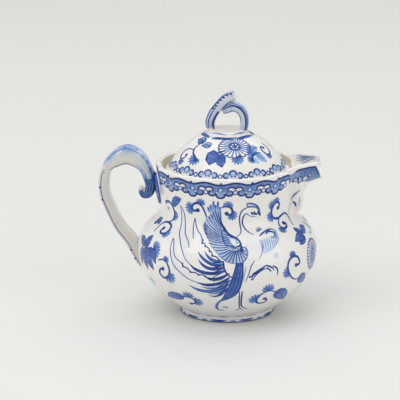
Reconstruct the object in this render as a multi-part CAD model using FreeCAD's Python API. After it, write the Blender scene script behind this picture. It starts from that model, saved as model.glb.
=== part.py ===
import FreeCAD
import Part
import math
import os

# Porcelain teapot: a bellied bowl on a foot ring with a lobed neck, an open pouring beak,
# a scrolled handle and an inset domed lid with a loop knob of two crossing limbs.
# Frame: origin at the centre of the foot ring on the table, +Z up the pot's axis,
# +X towards the beak. All sizes are in millimetres.

# Pot, outside
FOOT_RADIUS = 35.0
FOOT_HEIGHT = 4.0
FOOT_TAPER = 0.8
FOOT_RING_WIDTH = 5.0
FOOT_RECESS = 3.0
BELLY_RADIUS = 67.0
BELLY_HEIGHT = 48.0
NECK_RADIUS = 49.5
NECK_HEIGHT = 84.0
RIM_RADIUS = 53.4
RIM_HEIGHT = 114.3

# Pot, wall and lobed lip
WALL = 4.0
FLOOR = 5.0
LOBES = 14
LOBE_DEPTH = 2.0
LIP_HEIGHT = 13.8
LIP_FLARE = 0.9
LIP_ROUND = 1.4
RIM_EDGE = 1.0

# Seat inside the rim that carries the lid
SEAT_DEPTH = 6.3
SEAT_BORE = 41.0
SEAT_THICKNESS = 3.0
SEAT_SLOPE = 5.0
LID_CLEARANCE = 1.0

# Lid
LID_RADIUS = 46.0
LID_EDGE = 3.2
LID_BEVEL = 2.0
LID_BEVEL_RISE = 1.2
LID_RISE = 25.5
LID_WALL = 3.6
LID_TOP_RADIUS = 16.0
LID_SEAT_GAP = 0.2
FLANGE_CLEARANCE = 1.0
FLANGE_WIDTH = 3.0
FLANGE_DEPTH = 8.0
FLANGE_BEVEL = 1.0

# Knob on the lid
KNOB_PAD_RADIUS = 15.0
KNOB_PAD_HEIGHT = 3.0
KNOB_PAD_ROUND = 1.1
KNOB_WIDTH = 9.6
KNOB_THICKNESS = 7.6
KNOB_HALF_SPAN = 12.6
KNOB_LOOP_RISE = 16.8
KNOB_LEAF_RISE = 25.7
KNOB_SINK = 1.5

# Beak
BEAK_REACH = 17.7
BEAK_HALF_WIDTH = 14.5
BEAK_ROOT_SPREAD = 12.5
BEAK_ROOT_DEPTH = 8.0
BEAK_ROOT_DROP = 12.0
BEAK_TIP_DROP = 10.0
BEAK_BELLY_DROP = 6.4
BEAK_CORNER_RISE = 4.9
BEAK_CORNER_SETBACK = 3.6
BEAK_WALL = 3.2
CHANNEL_DEPTH = 3.0

# Handle
HANDLE_REACH = 25.0
HANDLE_RISE = 3.8
SCROLL_THICKNESS = 14.8
SCROLL_END_THICKNESS = 9.0
SCROLL_WIDTH = 15.0
VOLUTE_RADIUS = 5.7
STRAP_THICKNESS = 7.8
STRAP_WIDTH = 14.0
STRAP_FOOT_DROP = 10.0
LEAF_LENGTH = 26.0
LEAF_WIDTH = 17.0
LEAF_THICKNESS = 4.5
LEAF_ROUND = 1.5
LEAF_DROP = 7.7
VOLUTE_GAP = 0.2

# How far a cutting shape runs past what it cuts
OVERCUT = 10.0

# Values worked out from those above
LIP_BASE = RIM_HEIGHT - LIP_HEIGHT
SEAT_HEIGHT = RIM_HEIGHT - SEAT_DEPTH
LID_BOTTOM = SEAT_HEIGHT + LID_SEAT_GAP
LID_SHOULDER = LID_BOTTOM + LID_EDGE
LID_TOP = LID_SHOULDER + LID_RISE
FLANGE_RADIUS = SEAT_BORE - FLANGE_CLEARANCE
KNOB_BASE = LID_TOP + KNOB_PAD_HEIGHT
UP = FreeCAD.Vector(0, 0, 1)
ACROSS = FreeCAD.Vector(0, 1, 0)
CENTRE = FreeCAD.Vector(0, 0, 0)


def at(x, z, y=0.0):
    return FreeCAD.Vector(x, y, z)


def bezier(*poles):
    """A curve in the XZ plane from its control points."""
    curve = Part.BezierCurve()
    curve.setPoles([at(x, z) for x, z in poles])
    return curve.toShape()


def lines(*points):
    """Straight edges from point to point in the XZ plane."""
    return [Part.LineSegment(at(*a), at(*b)).toShape() for a, b in zip(points, points[1:])]


def turned(edges):
    """The solid that a closed half profile sweeps about the pot's axis."""
    return Part.Face(Part.Wire(edges)).revolve(CENTRE, UP, 360)


def slab(points, half_width):
    """A flat solid: an XZ outline, as deep as twice the half width across Y."""
    edges = lines(*points, points[0])
    face = Part.Face(Part.Wire(edges))
    face.translate(ACROSS * -half_width)
    return face.extrude(ACROSS * (2 * half_width))


def lobed_wire(radius, depth, height):
    """A ring of arcs, one to a lobe, that meet in shallow cusps."""
    step = 2 * math.pi / LOBES
    edges = []
    for lobe in range(LOBES):
        start = -math.pi / 2 + lobe * step
        ends = []
        for share, size in ((0.0, radius - depth), (0.5, radius), (1.0, radius - depth)):
            angle = start + share * step
            ends.append(at(size * math.cos(angle), height, size * math.sin(angle)))
        edges.append(Part.Arc(*ends).toShape())
    return Part.Wire(edges)


def limb(stations):
    """A smooth limb in the XZ plane. Each station gives x, z, thickness and width."""
    wires = []
    last = len(stations) - 1
    for index, (x, z, thickness, width) in enumerate(stations):
        before = stations[max(index - 1, 0)]
        after = stations[min(index + 1, last)]
        way = at(after[0] - before[0], after[1] - before[1]).normalize()
        out = at(-way.z, way.x)
        points = []
        for corner in range(8):
            angle = corner * math.pi / 4
            side = out * (thickness / 2 * math.cos(angle))
            points.append(at(x, z) + side + ACROSS * (width / 2 * math.sin(angle)))
        curve = Part.BSplineCurve()
        curve.interpolate(Points=points, PeriodicFlag=True)
        wires.append(Part.Wire(curve.toShape()))
    return Part.makeLoft(wires, True, False)


def trough(stations):
    """A gutter along X. Each station gives x, half width, top, bottom and how full its U is."""
    wires = []
    for x, half, top, bottom, full in stations:
        deep = top - bottom
        side = (0.64 + 0.3 * full) * half
        bilge = (0.22 + 0.33 * full) * half
        right = [(half, top), (side, top - 0.5 * deep), (bilge, top - 0.88 * deep)]
        left = [(-y, z) for y, z in reversed(right)]
        points = [at(x, z, y) for y, z in right + [(0.0, bottom)] + left]
        curve = Part.BSplineCurve()
        curve.interpolate(points)
        closing = Part.LineSegment(points[-1], points[0]).toShape()
        wires.append(Part.Wire([curve.toShape(), closing]))
    return Part.makeLoft(wires, True, False)


# Outside of the pot as one full solid: bowl, belly, shoulder and neck are turned,
# and the lip above them passes from a circle to the lobed ring.
bowl_start = (FOOT_RADIUS - FOOT_TAPER, FOOT_HEIGHT)
bowl_rise = BELLY_HEIGHT - FOOT_HEIGHT
belly = (BELLY_RADIUS, BELLY_HEIGHT)
neck = (NECK_RADIUS, NECK_HEIGHT)
shoulder_rise = NECK_HEIGHT - BELLY_HEIGHT
lip_start_radius = NECK_RADIUS + (RIM_RADIUS - NECK_RADIUS) * 0.42
lip_start = (lip_start_radius, LIP_BASE)
neck_rise = LIP_BASE - NECK_HEIGHT
bowl_curve = bezier(
    bowl_start,
    (bowl_start[0] + 0.3 * (BELLY_RADIUS - bowl_start[0]), FOOT_HEIGHT + 0.14 * bowl_rise),
    (BELLY_RADIUS, FOOT_HEIGHT + 0.5 * bowl_rise),
    belly,
)
shoulder_curve = bezier(
    belly,
    (BELLY_RADIUS, BELLY_HEIGHT + 0.66 * shoulder_rise),
    (NECK_RADIUS, NECK_HEIGHT - 0.42 * shoulder_rise),
    neck,
)
neck_curve = bezier(
    neck,
    (NECK_RADIUS, NECK_HEIGHT + 0.45 * neck_rise),
    lip_start,
)
profile = lines((0, LIP_BASE), (0, 0), (FOOT_RADIUS, 0), bowl_start)
profile = profile + [bowl_curve, shoulder_curve, neck_curve] + lines(lip_start, (0, LIP_BASE))
turned_outside = turned(profile)
lip_rings = [
    lobed_wire(lip_start_radius, 0.0, LIP_BASE),
    lobed_wire(RIM_RADIUS - LIP_FLARE, 0.55 * LOBE_DEPTH, RIM_HEIGHT - 0.45 * LIP_HEIGHT),
    lobed_wire(RIM_RADIUS, LOBE_DEPTH, RIM_HEIGHT - LIP_ROUND),
]
lip_side = Part.makeLoft(lip_rings, True, False)
lip_cap = Part.makeLoft(
    [
        lobed_wire(RIM_RADIUS, LOBE_DEPTH, RIM_HEIGHT - LIP_ROUND),
        lobed_wire(RIM_RADIUS - 0.75 * LIP_ROUND, LOBE_DEPTH, RIM_HEIGHT),
    ],
    True,
    True,
)
outside = turned_outside.fuse(lip_side).fuse(lip_cap).removeSplitter()

# Inside of the pot: cavity, lid seat with a sloping underside, and the recess under the foot.
inside_belly = BELLY_RADIUS - WALL
inside_neck = NECK_RADIUS - WALL
inside_rim = RIM_RADIUS - LOBE_DEPTH - LIP_ROUND - RIM_EDGE
floor_height = FOOT_RECESS + FLOOR
seat_under = SEAT_HEIGHT - SEAT_THICKNESS
inside_floor_curve = bezier(
    (0, floor_height),
    (0.72 * inside_belly, floor_height),
    (inside_belly, floor_height + 0.42 * (BELLY_HEIGHT - floor_height)),
    (inside_belly, BELLY_HEIGHT),
)
inside_shoulder_curve = bezier(
    (inside_belly, BELLY_HEIGHT),
    (inside_belly, BELLY_HEIGHT + 0.62 * shoulder_rise),
    (inside_neck, NECK_HEIGHT - 0.42 * shoulder_rise),
    (inside_neck, NECK_HEIGHT),
)
cavity_profile = [inside_floor_curve, inside_shoulder_curve]
cavity_profile = cavity_profile + lines(
    (inside_neck, NECK_HEIGHT),
    (inside_neck, seat_under - SEAT_SLOPE),
    (SEAT_BORE, seat_under),
    (SEAT_BORE, SEAT_HEIGHT),
    (LID_RADIUS + LID_CLEARANCE, SEAT_HEIGHT),
    (inside_rim, RIM_HEIGHT),
    (inside_rim, RIM_HEIGHT + OVERCUT),
    (0, RIM_HEIGHT + OVERCUT),
    (0, floor_height),
)
cavity = turned(cavity_profile)
recess = Part.makeCylinder(FOOT_RADIUS - FOOT_RING_WIDTH, FOOT_RECESS)

# Beak: an outer gutter, a channel inside it, and a slanting cut that makes the pouring end.
beak_tip = RIM_RADIUS + BEAK_REACH
beak_corner = beak_tip - BEAK_CORNER_SETBACK
tip_height = RIM_HEIGHT - BEAK_TIP_DROP
corner_height = RIM_HEIGHT + BEAK_CORNER_RISE
beak_sides = [BEAK_HALF_WIDTH + share * BEAK_ROOT_SPREAD for share in (1.0, 0.68, 0.38, 0.09, -0.14)]
beak_tops = [RIM_HEIGHT + share * BEAK_CORNER_RISE for share in (-0.42, 0.6, 0.8, 0.92, 1.13)]
outer_stations = [
    (inside_neck - BEAK_ROOT_DEPTH, beak_sides[0], beak_tops[0], NECK_HEIGHT - BEAK_ROOT_DROP, 0.0),
    (RIM_RADIUS - 0.08 * BEAK_REACH, beak_sides[1], beak_tops[1], NECK_HEIGHT - 0.42 * BEAK_ROOT_DROP, 0.0),
    (RIM_RADIUS + 0.28 * BEAK_REACH, beak_sides[2], beak_tops[2], tip_height - BEAK_BELLY_DROP, 0.6),
    (RIM_RADIUS + 0.66 * BEAK_REACH, beak_sides[3], beak_tops[3], tip_height - 0.28 * BEAK_BELLY_DROP, 1.0),
    (RIM_RADIUS + 1.08 * BEAK_REACH, beak_sides[4], beak_tops[4], tip_height + 0.05 * BEAK_BELLY_DROP, 1.0),
]
channel_floor = tip_height - CHANNEL_DEPTH
channel_stations = [
    (x, half - BEAK_WALL, top + OVERCUT, max(bottom + BEAK_WALL, channel_floor), 0.5 + 0.5 * full)
    for x, half, top, bottom, full in outer_stations
]
channel_stations[0] = (SEAT_BORE - OVERCUT,) + channel_stations[0][1:]
end_slope = BEAK_CORNER_SETBACK / (corner_height - tip_height)
end_cut = slab(
    [
        (beak_tip + end_slope * OVERCUT, tip_height - OVERCUT),
        (beak_corner - end_slope * OVERCUT, corner_height + OVERCUT),
        (beak_tip + BEAK_REACH, corner_height + OVERCUT),
        (beak_tip + BEAK_REACH, tip_height - OVERCUT),
    ],
    BEAK_HALF_WIDTH + BEAK_ROOT_SPREAD,
)
channel = trough(channel_stations)
beak = trough(outer_stations).cut(channel).cut(end_cut).cut(outside)

pot = outside.cut(cavity).cut(recess).cut(channel)

# Handle: a leaf pad on the neck, a thick scroll that rolls up in a volute, and a strap below.
handle_out = -(BELLY_RADIUS + HANDLE_REACH)
handle_top = RIM_HEIGHT + HANDLE_RISE
neck_side = -NECK_RADIUS
leaf_top = RIM_HEIGHT - LEAF_DROP
volute_x = neck_side - LEAF_THICKNESS - VOLUTE_RADIUS - VOLUTE_GAP
volute_z = leaf_top - 0.6 * LEAF_LENGTH
tail = SCROLL_END_THICKNESS
scroll_drop = handle_top - volute_z
scroll_shares = [
    (0.072, 0.435, 0.92 * tail, 0.8),
    (0.192, 0.232, 1.1 * tail, 0.9),
    (0.632, 0.0, SCROLL_THICKNESS, 1.0),
    (0.976, 0.098, 0.9 * SCROLL_THICKNESS, 1.0),
]
scroll_stations = [
    (handle_out + out * HANDLE_REACH, handle_top - down * scroll_drop, thick, wide * SCROLL_WIDTH)
    for out, down, thick, wide in scroll_shares
]
scroll_stations = scroll_stations + [
    (volute_x - 0.28 * VOLUTE_RADIUS, handle_top - 0.347 * scroll_drop, 1.06 * tail, SCROLL_WIDTH),
    (volute_x + 0.4 * VOLUTE_RADIUS, volute_z + 1.4 * VOLUTE_RADIUS, 1.02 * tail, SCROLL_WIDTH),
    (volute_x + 0.25 * VOLUTE_RADIUS, volute_z, 0.9 * tail, SCROLL_WIDTH),
]
scroll = limb(scroll_stations)
volute = Part.makeCylinder(
    VOLUTE_RADIUS, SCROLL_WIDTH, at(volute_x, volute_z, -SCROLL_WIDTH / 2), ACROSS
)
leaf_faces = []
for depth, share in ((-2 * WALL, 1.0), (LEAF_THICKNESS - LEAF_ROUND, 1.0), (LEAF_THICKNESS, 0.8)):
    x = neck_side - depth
    half = share * LEAF_WIDTH / 2
    middle = leaf_top - 0.35 * LEAF_LENGTH
    top = middle + share * 0.35 * LEAF_LENGTH
    tip = middle - share * 0.65 * LEAF_LENGTH
    crown = Part.Arc(at(x, middle, half), at(x, top), at(x, middle, -half)).toShape()
    low = middle - 0.5 * (middle - tip)
    one_side = Part.Arc(at(x, middle, -half), at(x, low, -0.72 * half), at(x, tip)).toShape()
    other_side = Part.Arc(at(x, tip), at(x, low, 0.72 * half), at(x, middle, half)).toShape()
    leaf_faces.append(Part.Wire([crown, one_side, other_side]))
leaf = Part.makeLoft(leaf_faces, True, True).cut(outside)
scroll = scroll.fuse(volute).removeSplitter().cut(outside).cut(leaf)
strap_drop = handle_top - BELLY_HEIGHT + STRAP_FOOT_DROP
strap_shares = [
    (0.11, 0.105, 0.86, 0.8),
    (0.0, 0.218, 1.02, 0.96),
    (0.01, 0.37, 1.0, 1.0),
    (0.226, 0.546, 1.0, 1.0),
    (0.466, 0.69, 1.04, 1.0),
    (0.8, 0.822, 1.14, 1.05),
    (1.128, 1.01, 1.1, 1.1),
    (1.52, 1.11, 0.8, 1.0),
]
strap_stations = []
for out, down, thick, wide in strap_shares:
    place = (handle_out + out * HANDLE_REACH, handle_top - down * strap_drop)
    strap_stations.append(place + (thick * STRAP_THICKNESS, wide * STRAP_WIDTH))
strap = limb(strap_stations).cut(outside).cut(scroll)

# Lid: a domed shell with a flat edge, a locating collar under it and the knob's pad on top.
shoulder_radius = LID_RADIUS - LID_BEVEL
dome_run = shoulder_radius - LID_TOP_RADIUS
dome_curve = bezier(
    (shoulder_radius, LID_SHOULDER),
    (shoulder_radius - 0.09 * dome_run, LID_SHOULDER + 0.26 * LID_RISE),
    (LID_TOP_RADIUS + 0.39 * dome_run, LID_TOP - 0.1 * LID_RISE),
    (LID_TOP_RADIUS, LID_TOP),
)
hollow_radius = FLANGE_RADIUS - FLANGE_WIDTH
hollow_top = LID_TOP - LID_WALL
hollow_curve = bezier(
    (hollow_radius, LID_SHOULDER),
    (0.97 * hollow_radius, LID_SHOULDER + 0.32 * LID_RISE),
    (0.68 * hollow_radius, hollow_top),
    (0, hollow_top),
)
dome_profile = [dome_curve] + lines((LID_TOP_RADIUS, LID_TOP), (0, LID_TOP), (0, hollow_top))
dome_profile = dome_profile + [hollow_curve] + lines(
    (hollow_radius, LID_SHOULDER),
    (hollow_radius, LID_BOTTOM),
    (LID_RADIUS, LID_BOTTOM),
    (LID_RADIUS, LID_SHOULDER - LID_BEVEL_RISE),
    (shoulder_radius, LID_SHOULDER),
)
dome = turned(dome_profile)
flange = turned(
    lines(
        (hollow_radius, LID_BOTTOM),
        (FLANGE_RADIUS, LID_BOTTOM),
        (FLANGE_RADIUS, LID_BOTTOM - FLANGE_DEPTH + FLANGE_BEVEL),
        (FLANGE_RADIUS - FLANGE_BEVEL, LID_BOTTOM - FLANGE_DEPTH),
        (hollow_radius, LID_BOTTOM - FLANGE_DEPTH),
        (hollow_radius, LID_BOTTOM),
    )
)
pad = turned(
    lines(
        (0, LID_TOP),
        (KNOB_PAD_RADIUS, LID_TOP),
        (KNOB_PAD_RADIUS, KNOB_BASE - KNOB_PAD_ROUND),
        (KNOB_PAD_RADIUS - KNOB_PAD_ROUND, KNOB_BASE),
        (0, KNOB_BASE),
        (0, LID_TOP),
    )
)

# Knob: one limb crosses over the loop and flares into a leaf, the other curls over and ends on it.
knob_leaf = limb(
    [
        (-0.9 * KNOB_HALF_SPAN, KNOB_BASE - KNOB_SINK, 0.9 * KNOB_THICKNESS, KNOB_WIDTH),
        (-1.0 * KNOB_HALF_SPAN, KNOB_BASE + 0.3 * KNOB_LOOP_RISE, KNOB_THICKNESS, KNOB_WIDTH),
        (-0.8 * KNOB_HALF_SPAN, KNOB_BASE + 0.7 * KNOB_LOOP_RISE, KNOB_THICKNESS, KNOB_WIDTH),
        (-0.46 * KNOB_HALF_SPAN, KNOB_BASE + 1.05 * KNOB_LOOP_RISE, KNOB_THICKNESS, KNOB_WIDTH),
        (-0.02 * KNOB_HALF_SPAN, KNOB_BASE + 0.9 * KNOB_LEAF_RISE, KNOB_THICKNESS, KNOB_WIDTH),
        (0.5 * KNOB_HALF_SPAN, KNOB_BASE + KNOB_LEAF_RISE, 0.84 * KNOB_THICKNESS, 0.9 * KNOB_WIDTH),
    ]
).cut(pad)
curl_end = 0.7 * KNOB_THICKNESS
knob_scroll = limb(
    [
        (0.92 * KNOB_HALF_SPAN, KNOB_BASE - KNOB_SINK, 0.86 * KNOB_THICKNESS, KNOB_WIDTH),
        (1.0 * KNOB_HALF_SPAN, KNOB_BASE + 0.3 * KNOB_LOOP_RISE, 0.9 * KNOB_THICKNESS, KNOB_WIDTH),
        (0.94 * KNOB_HALF_SPAN, KNOB_BASE + 0.66 * KNOB_LOOP_RISE, 0.9 * KNOB_THICKNESS, KNOB_WIDTH),
        (0.69 * KNOB_HALF_SPAN, KNOB_BASE + 0.91 * KNOB_LOOP_RISE, 0.92 * KNOB_THICKNESS, KNOB_WIDTH),
        (0.31 * KNOB_HALF_SPAN, KNOB_BASE + KNOB_LOOP_RISE, 0.92 * KNOB_THICKNESS, KNOB_WIDTH),
        (0.0, KNOB_BASE + 0.905 * KNOB_LOOP_RISE, 0.86 * KNOB_THICKNESS, 0.96 * KNOB_WIDTH),
        (-0.34 * KNOB_HALF_SPAN, KNOB_BASE + 0.81 * KNOB_LOOP_RISE, curl_end, 0.86 * KNOB_WIDTH),
    ]
).cut(pad).cut(knob_leaf)

pieces = {
    "pot_body": pot,
    "spout_beak": beak,
    "handle_scroll": scroll,
    "handle_strap": strap,
    "handle_leaf": leaf,
    "lid_dome": dome,
    "lid_flange": flange,
    "knob_pad": pad,
    "knob_leaf": knob_leaf,
    "knob_scroll": knob_scroll,
}
os.makedirs("parts", exist_ok=True)
for node, shape in pieces.items():
    print(node, len(shape.Solids), round(shape.Volume, 1), shape.isValid())
    shape.Solids[0].exportStep("parts/%s.step" % node)
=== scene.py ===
import math
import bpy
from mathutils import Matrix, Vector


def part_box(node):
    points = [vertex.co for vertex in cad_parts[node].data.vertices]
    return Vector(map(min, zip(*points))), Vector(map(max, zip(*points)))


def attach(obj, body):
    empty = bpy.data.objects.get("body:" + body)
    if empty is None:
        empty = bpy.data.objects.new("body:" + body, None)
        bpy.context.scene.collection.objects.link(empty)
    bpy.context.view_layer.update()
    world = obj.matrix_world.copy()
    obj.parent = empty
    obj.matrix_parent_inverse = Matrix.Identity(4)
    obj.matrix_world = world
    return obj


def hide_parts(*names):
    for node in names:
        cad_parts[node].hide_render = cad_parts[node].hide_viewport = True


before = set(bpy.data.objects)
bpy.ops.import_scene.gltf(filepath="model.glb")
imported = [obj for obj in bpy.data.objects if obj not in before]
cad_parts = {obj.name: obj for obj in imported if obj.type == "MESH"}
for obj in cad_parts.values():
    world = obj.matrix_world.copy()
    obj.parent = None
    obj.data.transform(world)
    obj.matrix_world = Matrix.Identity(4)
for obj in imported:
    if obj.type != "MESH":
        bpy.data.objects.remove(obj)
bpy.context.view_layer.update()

import types

import bmesh
import bpy
import numpy as np
from mathutils import Vector

bl_info = {
    "name": "Painted porcelain teapot",
    "version": (1, 0, 0),
    "blender": (4, 5, 0),
    "location": "3D View > Sidebar > Teapot",
    "description": "Builds a lidded porcelain teapot and its blue painting around the packed model",
    "category": "Object",
}

# Shapes are worked out in millimetres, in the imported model's frame, and scaled when a mesh is made.
MM = 0.001
POT_NODES = [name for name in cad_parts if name.startswith("pot_")]


def node_limit(names, axis, high):
    """How far some CAD nodes reach along an axis, in metres."""
    corners = [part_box(name)[1 if high else 0][axis] for name in names]
    return max(corners) if high else min(corners)


def length(name, description, default):
    """A length property in metres."""
    return bpy.props.FloatProperty(
        name=name, description=description, default=default, min=0.0, unit="LENGTH", precision=5
    )


def colour(name, description, default):
    """A colour property, given as it looks on a screen."""
    return bpy.props.FloatVectorProperty(
        name=name, description=description, default=default, min=0.0, max=1.0, subtype="COLOR_GAMMA"
    )


class PotSizes(bpy.types.PropertyGroup):
    """Sizes of the pot's wall, its lobed lip and the seat for the lid."""

    foot_radius: length("Foot radius", "Outside of the foot ring", 0.035)
    foot_height: length("Foot height", "Height of the foot ring under the bowl", 0.004)
    foot_taper: length("Foot taper", "How much the foot ring narrows upwards", 0.0008)
    foot_ring: length("Foot ring width", "Width of the ring that the pot stands on", 0.005)
    foot_recess: length("Foot recess", "Depth of the hollow inside the foot ring", 0.003)
    belly_radius: length("Belly radius", "Widest part of the bowl", node_limit(POT_NODES, 1, True))
    belly_height: length("Belly height", "Height of the widest part", 0.048)
    neck_radius: length("Neck radius", "Narrowest part of the neck", 0.0495)
    neck_height: length("Neck height", "Height of the narrowest part", 0.084)
    rim_radius: length("Rim radius", "Crest of the lip's lobes", 0.0534)
    rim_height: length("Rim height", "Top of the lip", node_limit(POT_NODES, 2, True))
    lip_height: length("Lip height", "Height of the lobed stretch", 0.0138)
    lip_round: length("Lip round", "Rounding of the lip's edge", 0.0014)
    lobe_depth: length("Lobe depth", "Depth of the notches between lobes", 0.002)
    wall: length("Wall", "Thickness of the wall", 0.004)
    floor: length("Floor", "Thickness of the floor", 0.005)
    seat_depth: length("Seat depth", "Lid seat below the lip", 0.0063)
    seat_bore: length("Seat bore", "Opening inside the lid seat", 0.041)
    seat_thickness: length("Seat thickness", "Edge of the lid seat", 0.003)
    seat_slope: length("Seat slope", "Rise of the slope under the seat", 0.005)
    lobes: bpy.props.IntProperty(name="Lobes", description="Lobes round the lip", default=14, min=3)


class LidSizes(bpy.types.PropertyGroup):
    """Sizes of the domed lid, its collar and the pad of its knob."""

    radius: length("Lid radius", "Outside of the lid's edge", node_limit(["lid_dome"], 0, True))
    bottom: length("Lid bottom", "Underside of the lid's edge", node_limit(["lid_dome"], 2, False))
    edge: length("Edge height", "Height of the lid's edge", 0.0032)
    bevel: length("Edge bevel", "Bevel on the lid's edge", 0.002)
    rise: length("Rise", "Height of the dome over its edge", 0.0255)
    top_radius: length("Top radius", "Flat top under the knob's pad", 0.016)
    wall: length("Wall", "Thickness of the dome", 0.0036)
    collar_radius: length("Collar radius", "Outside of the collar", node_limit(["lid_flange"], 0, True))
    collar_width: length("Collar width", "Thickness of the collar", 0.003)
    collar_bottom: length("Collar bottom", "Lower edge of the collar", node_limit(["lid_flange"], 2, False))
    pad_radius: length("Pad radius", "Pad under the knob", node_limit(["knob_pad"], 0, True))
    pad_height: length("Pad height", "Height of the pad", 0.003)


class BeakSizes(bpy.types.PropertyGroup):
    """Sizes of the open pouring beak."""

    reach: length("Reach", "How far the tip stands out from the lip", 0.0177)
    half_width: length("Half width", "Half the width of the mouth", 0.0145)
    root_spread: length("Root spread", "How much the root widens on each side", 0.0125)
    root_depth: length("Root depth", "How far the root runs into the neck", 0.008)
    root_drop: length("Root drop", "Lowest point of the root under the neck's waist", 0.012)
    tip_drop: length("Tip drop", "Tip below the lip", 0.010)
    belly_drop: length("Belly drop", "Underside of the beak below its tip", 0.0064)
    corner_rise: length("Corner rise", "Upper corners of the mouth above the lip", 0.0049)
    corner_setback: length("Corner setback", "Upper corners behind the tip", 0.0036)
    wall: length("Wall", "Thickness of the beak's wall", 0.0032)
    channel_depth: length("Channel depth", "Channel floor below the tip", 0.003)


class HandleSizes(bpy.types.PropertyGroup):
    """Sizes of the handle's scroll, strap and leaf."""

    reach: length("Reach", "How far the handle stands out from the belly", 0.025)
    rise: length("Rise", "Middle of the scroll above the lip", 0.0038)
    scroll_thickness: length("Scroll thickness", "Scroll at its thickest", 0.0148)
    scroll_end: length("Scroll end", "Thickness of the scroll's ends", 0.009)
    scroll_width: length("Scroll width", "Width of the scroll", 0.015)
    curl_radius: length("Curl radius", "Radius of the curl by the neck", 0.0057)
    curl_gap: length("Curl gap", "Gap between the curl and the leaf", 0.0002)
    strap_thickness: length("Strap thickness", "Thickness of the strap", 0.0078)
    strap_width: length("Strap width", "Width of the strap", 0.014)
    foot_drop: length("Strap foot drop", "Foot of the strap below the belly's widest part", 0.01)
    leaf_length: length("Leaf length", "Length of the leaf on the neck", 0.026)
    leaf_width: length("Leaf width", "Width of the leaf", 0.017)
    leaf_thickness: length("Leaf thickness", "How far the leaf stands out", 0.0045)
    leaf_drop: length("Leaf drop", "Top of the leaf below the lip", 0.0077)


class KnobSizes(bpy.types.PropertyGroup):
    """Sizes of the loop knob's two limbs."""

    width: length("Width", "Width of a limb", 0.0096)
    thickness: length("Thickness", "Thickness of a limb", 0.0076)
    half_span: length("Half span", "Half the width of the loop", 0.0126)
    loop_rise: length("Loop rise", "Height of the loop over the pad", 0.0168)
    leaf_rise: length("Leaf rise", "Height of the leaf's tip over the pad", 0.0257)
    sink: length("Sink", "How far the limbs run into the pad", 0.0015)


class GlazeColours(bpy.types.PropertyGroup):
    """Colours of the glaze, from bare white to the darkest blue, and of the bare clay, whose dark foot and
    warm seat are partly painted shade.
    """

    porcelain: colour("Porcelain", "White under clear glaze", (0.925, 0.922, 0.912))
    mist: colour("Mist", "Thinnest wash", (0.84, 0.88, 0.94))
    wash: colour("Wash", "Pale blue wash", (0.62, 0.72, 0.89))
    middle: colour("Middle blue", "Full brush of blue", (0.28, 0.455, 0.75))
    cobalt: colour("Cobalt", "Dark lines", (0.11, 0.28, 0.60))
    night: colour("Night blue", "Where dark lines pool", (0.03, 0.16, 0.46))
    # Grey tint multiplied into faces that face front and back, by how squarely they face
    worn: colour("Worn glaze", "Tint of thin, rubbed glaze", (0.88, 0.87, 0.85))
    # Bare clay of the foot's edge, made dark as painted contact shadow under the pot
    clay: colour("Bare clay", "Unglazed edge of the foot", (0.34, 0.32, 0.30))
    # Bare clay of the lid seat and inside of the lip, tinted warm and darker as painted shade in the gap
    # round the lid
    seat: colour("Lid seat", "Bare, stained inside of the lip", (0.83, 0.80, 0.71))
    floor: colour("Floor", "Table top under the pot", (0.895, 0.895, 0.885))


SIZE_GROUPS = {
    "teapot_pot": PotSizes,
    "teapot_lid": LidSizes,
    "teapot_beak": BeakSizes,
    "teapot_handle": HandleSizes,
    "teapot_knob": KnobSizes,
    "teapot_glaze": GlazeColours,
}


def in_millimetres(group):
    """A group's sizes as plain numbers in millimetres. Counts stay as they are."""
    sizes = types.SimpleNamespace()
    for name in group.__annotations__:
        value = getattr(group, name)
        setattr(sizes, name, value / MM if isinstance(value, float) else value)
    return sizes


def linear(shade):
    """A screen colour as the linear colour that nodes take."""
    parts = [part / 12.92 if part <= 0.04045 else ((part + 0.055) / 1.055) ** 2.4 for part in shade]
    return tuple(parts) + (1.0,)


# Curves and surfaces


def bezier(*poles, steps=24):
    """Points along the curve of some control points."""
    share = np.linspace(0.0, 1.0, steps + 1)[:, None, None]
    points = np.repeat(np.array(poles, float)[None], steps + 1, axis=0)
    while points.shape[1] > 1:
        points = points[:, :-1] * (1.0 - share) + points[:, 1:] * share
    return points[:, 0]


def rounded(corner, before, after, steps=4):
    """A rounded corner. Where it starts and ends are steps from the corner itself."""
    x, z = corner
    return bezier((x + before[0], z + before[1]), corner, (x + after[0], z + after[1]), steps=steps)


def joined(*runs):
    """One outline from runs of points. A run that starts where the last one ended shares that point."""
    points = [tuple(runs[0][0])]
    for run in runs:
        for point in run:
            if math.dist(point, points[-1]) > 1e-6:
                points.append(tuple(point))
    return np.array(points, float)


def weights(place, count):
    """How much each of a row of points counts at a place on the smooth line through them."""
    place = np.atleast_1d(np.asarray(place, float))
    first = np.clip(np.floor(place).astype(int), 0, count - 2)
    t = place - first
    shares = 0.5 * np.stack(
        [-t + 2 * t**2 - t**3, 2 - 5 * t**2 + 3 * t**3, t + 4 * t**2 - 3 * t**3, -(t**2) + t**3], -1
    )
    table = np.zeros((len(place), count + 2))
    rows = np.arange(len(place))
    for step in range(4):
        table[rows, first + step] += shares[:, step]
    table[:, 1] += 2 * table[:, 0]
    table[:, 2] -= table[:, 0]
    table[:, -2] += 2 * table[:, -1]
    table[:, -3] -= table[:, -1]
    return table[:, 1:-1]


def smooth_line(points, per_run=12):
    """Points along a smooth line through the given ones."""
    points = np.array(points, float)
    if len(points) < 2:
        raise ValueError("A line needs two points")
    place = np.linspace(0.0, len(points) - 1.0, (len(points) - 1) * per_run + 1)
    return weights(place, len(points)) @ points


def run_lengths(points):
    """Distance along a line of points, from 0 at its start."""
    steps = np.linalg.norm(np.diff(points, axis=0), axis=1)
    return np.concatenate([[0.0], np.cumsum(steps)])


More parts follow.
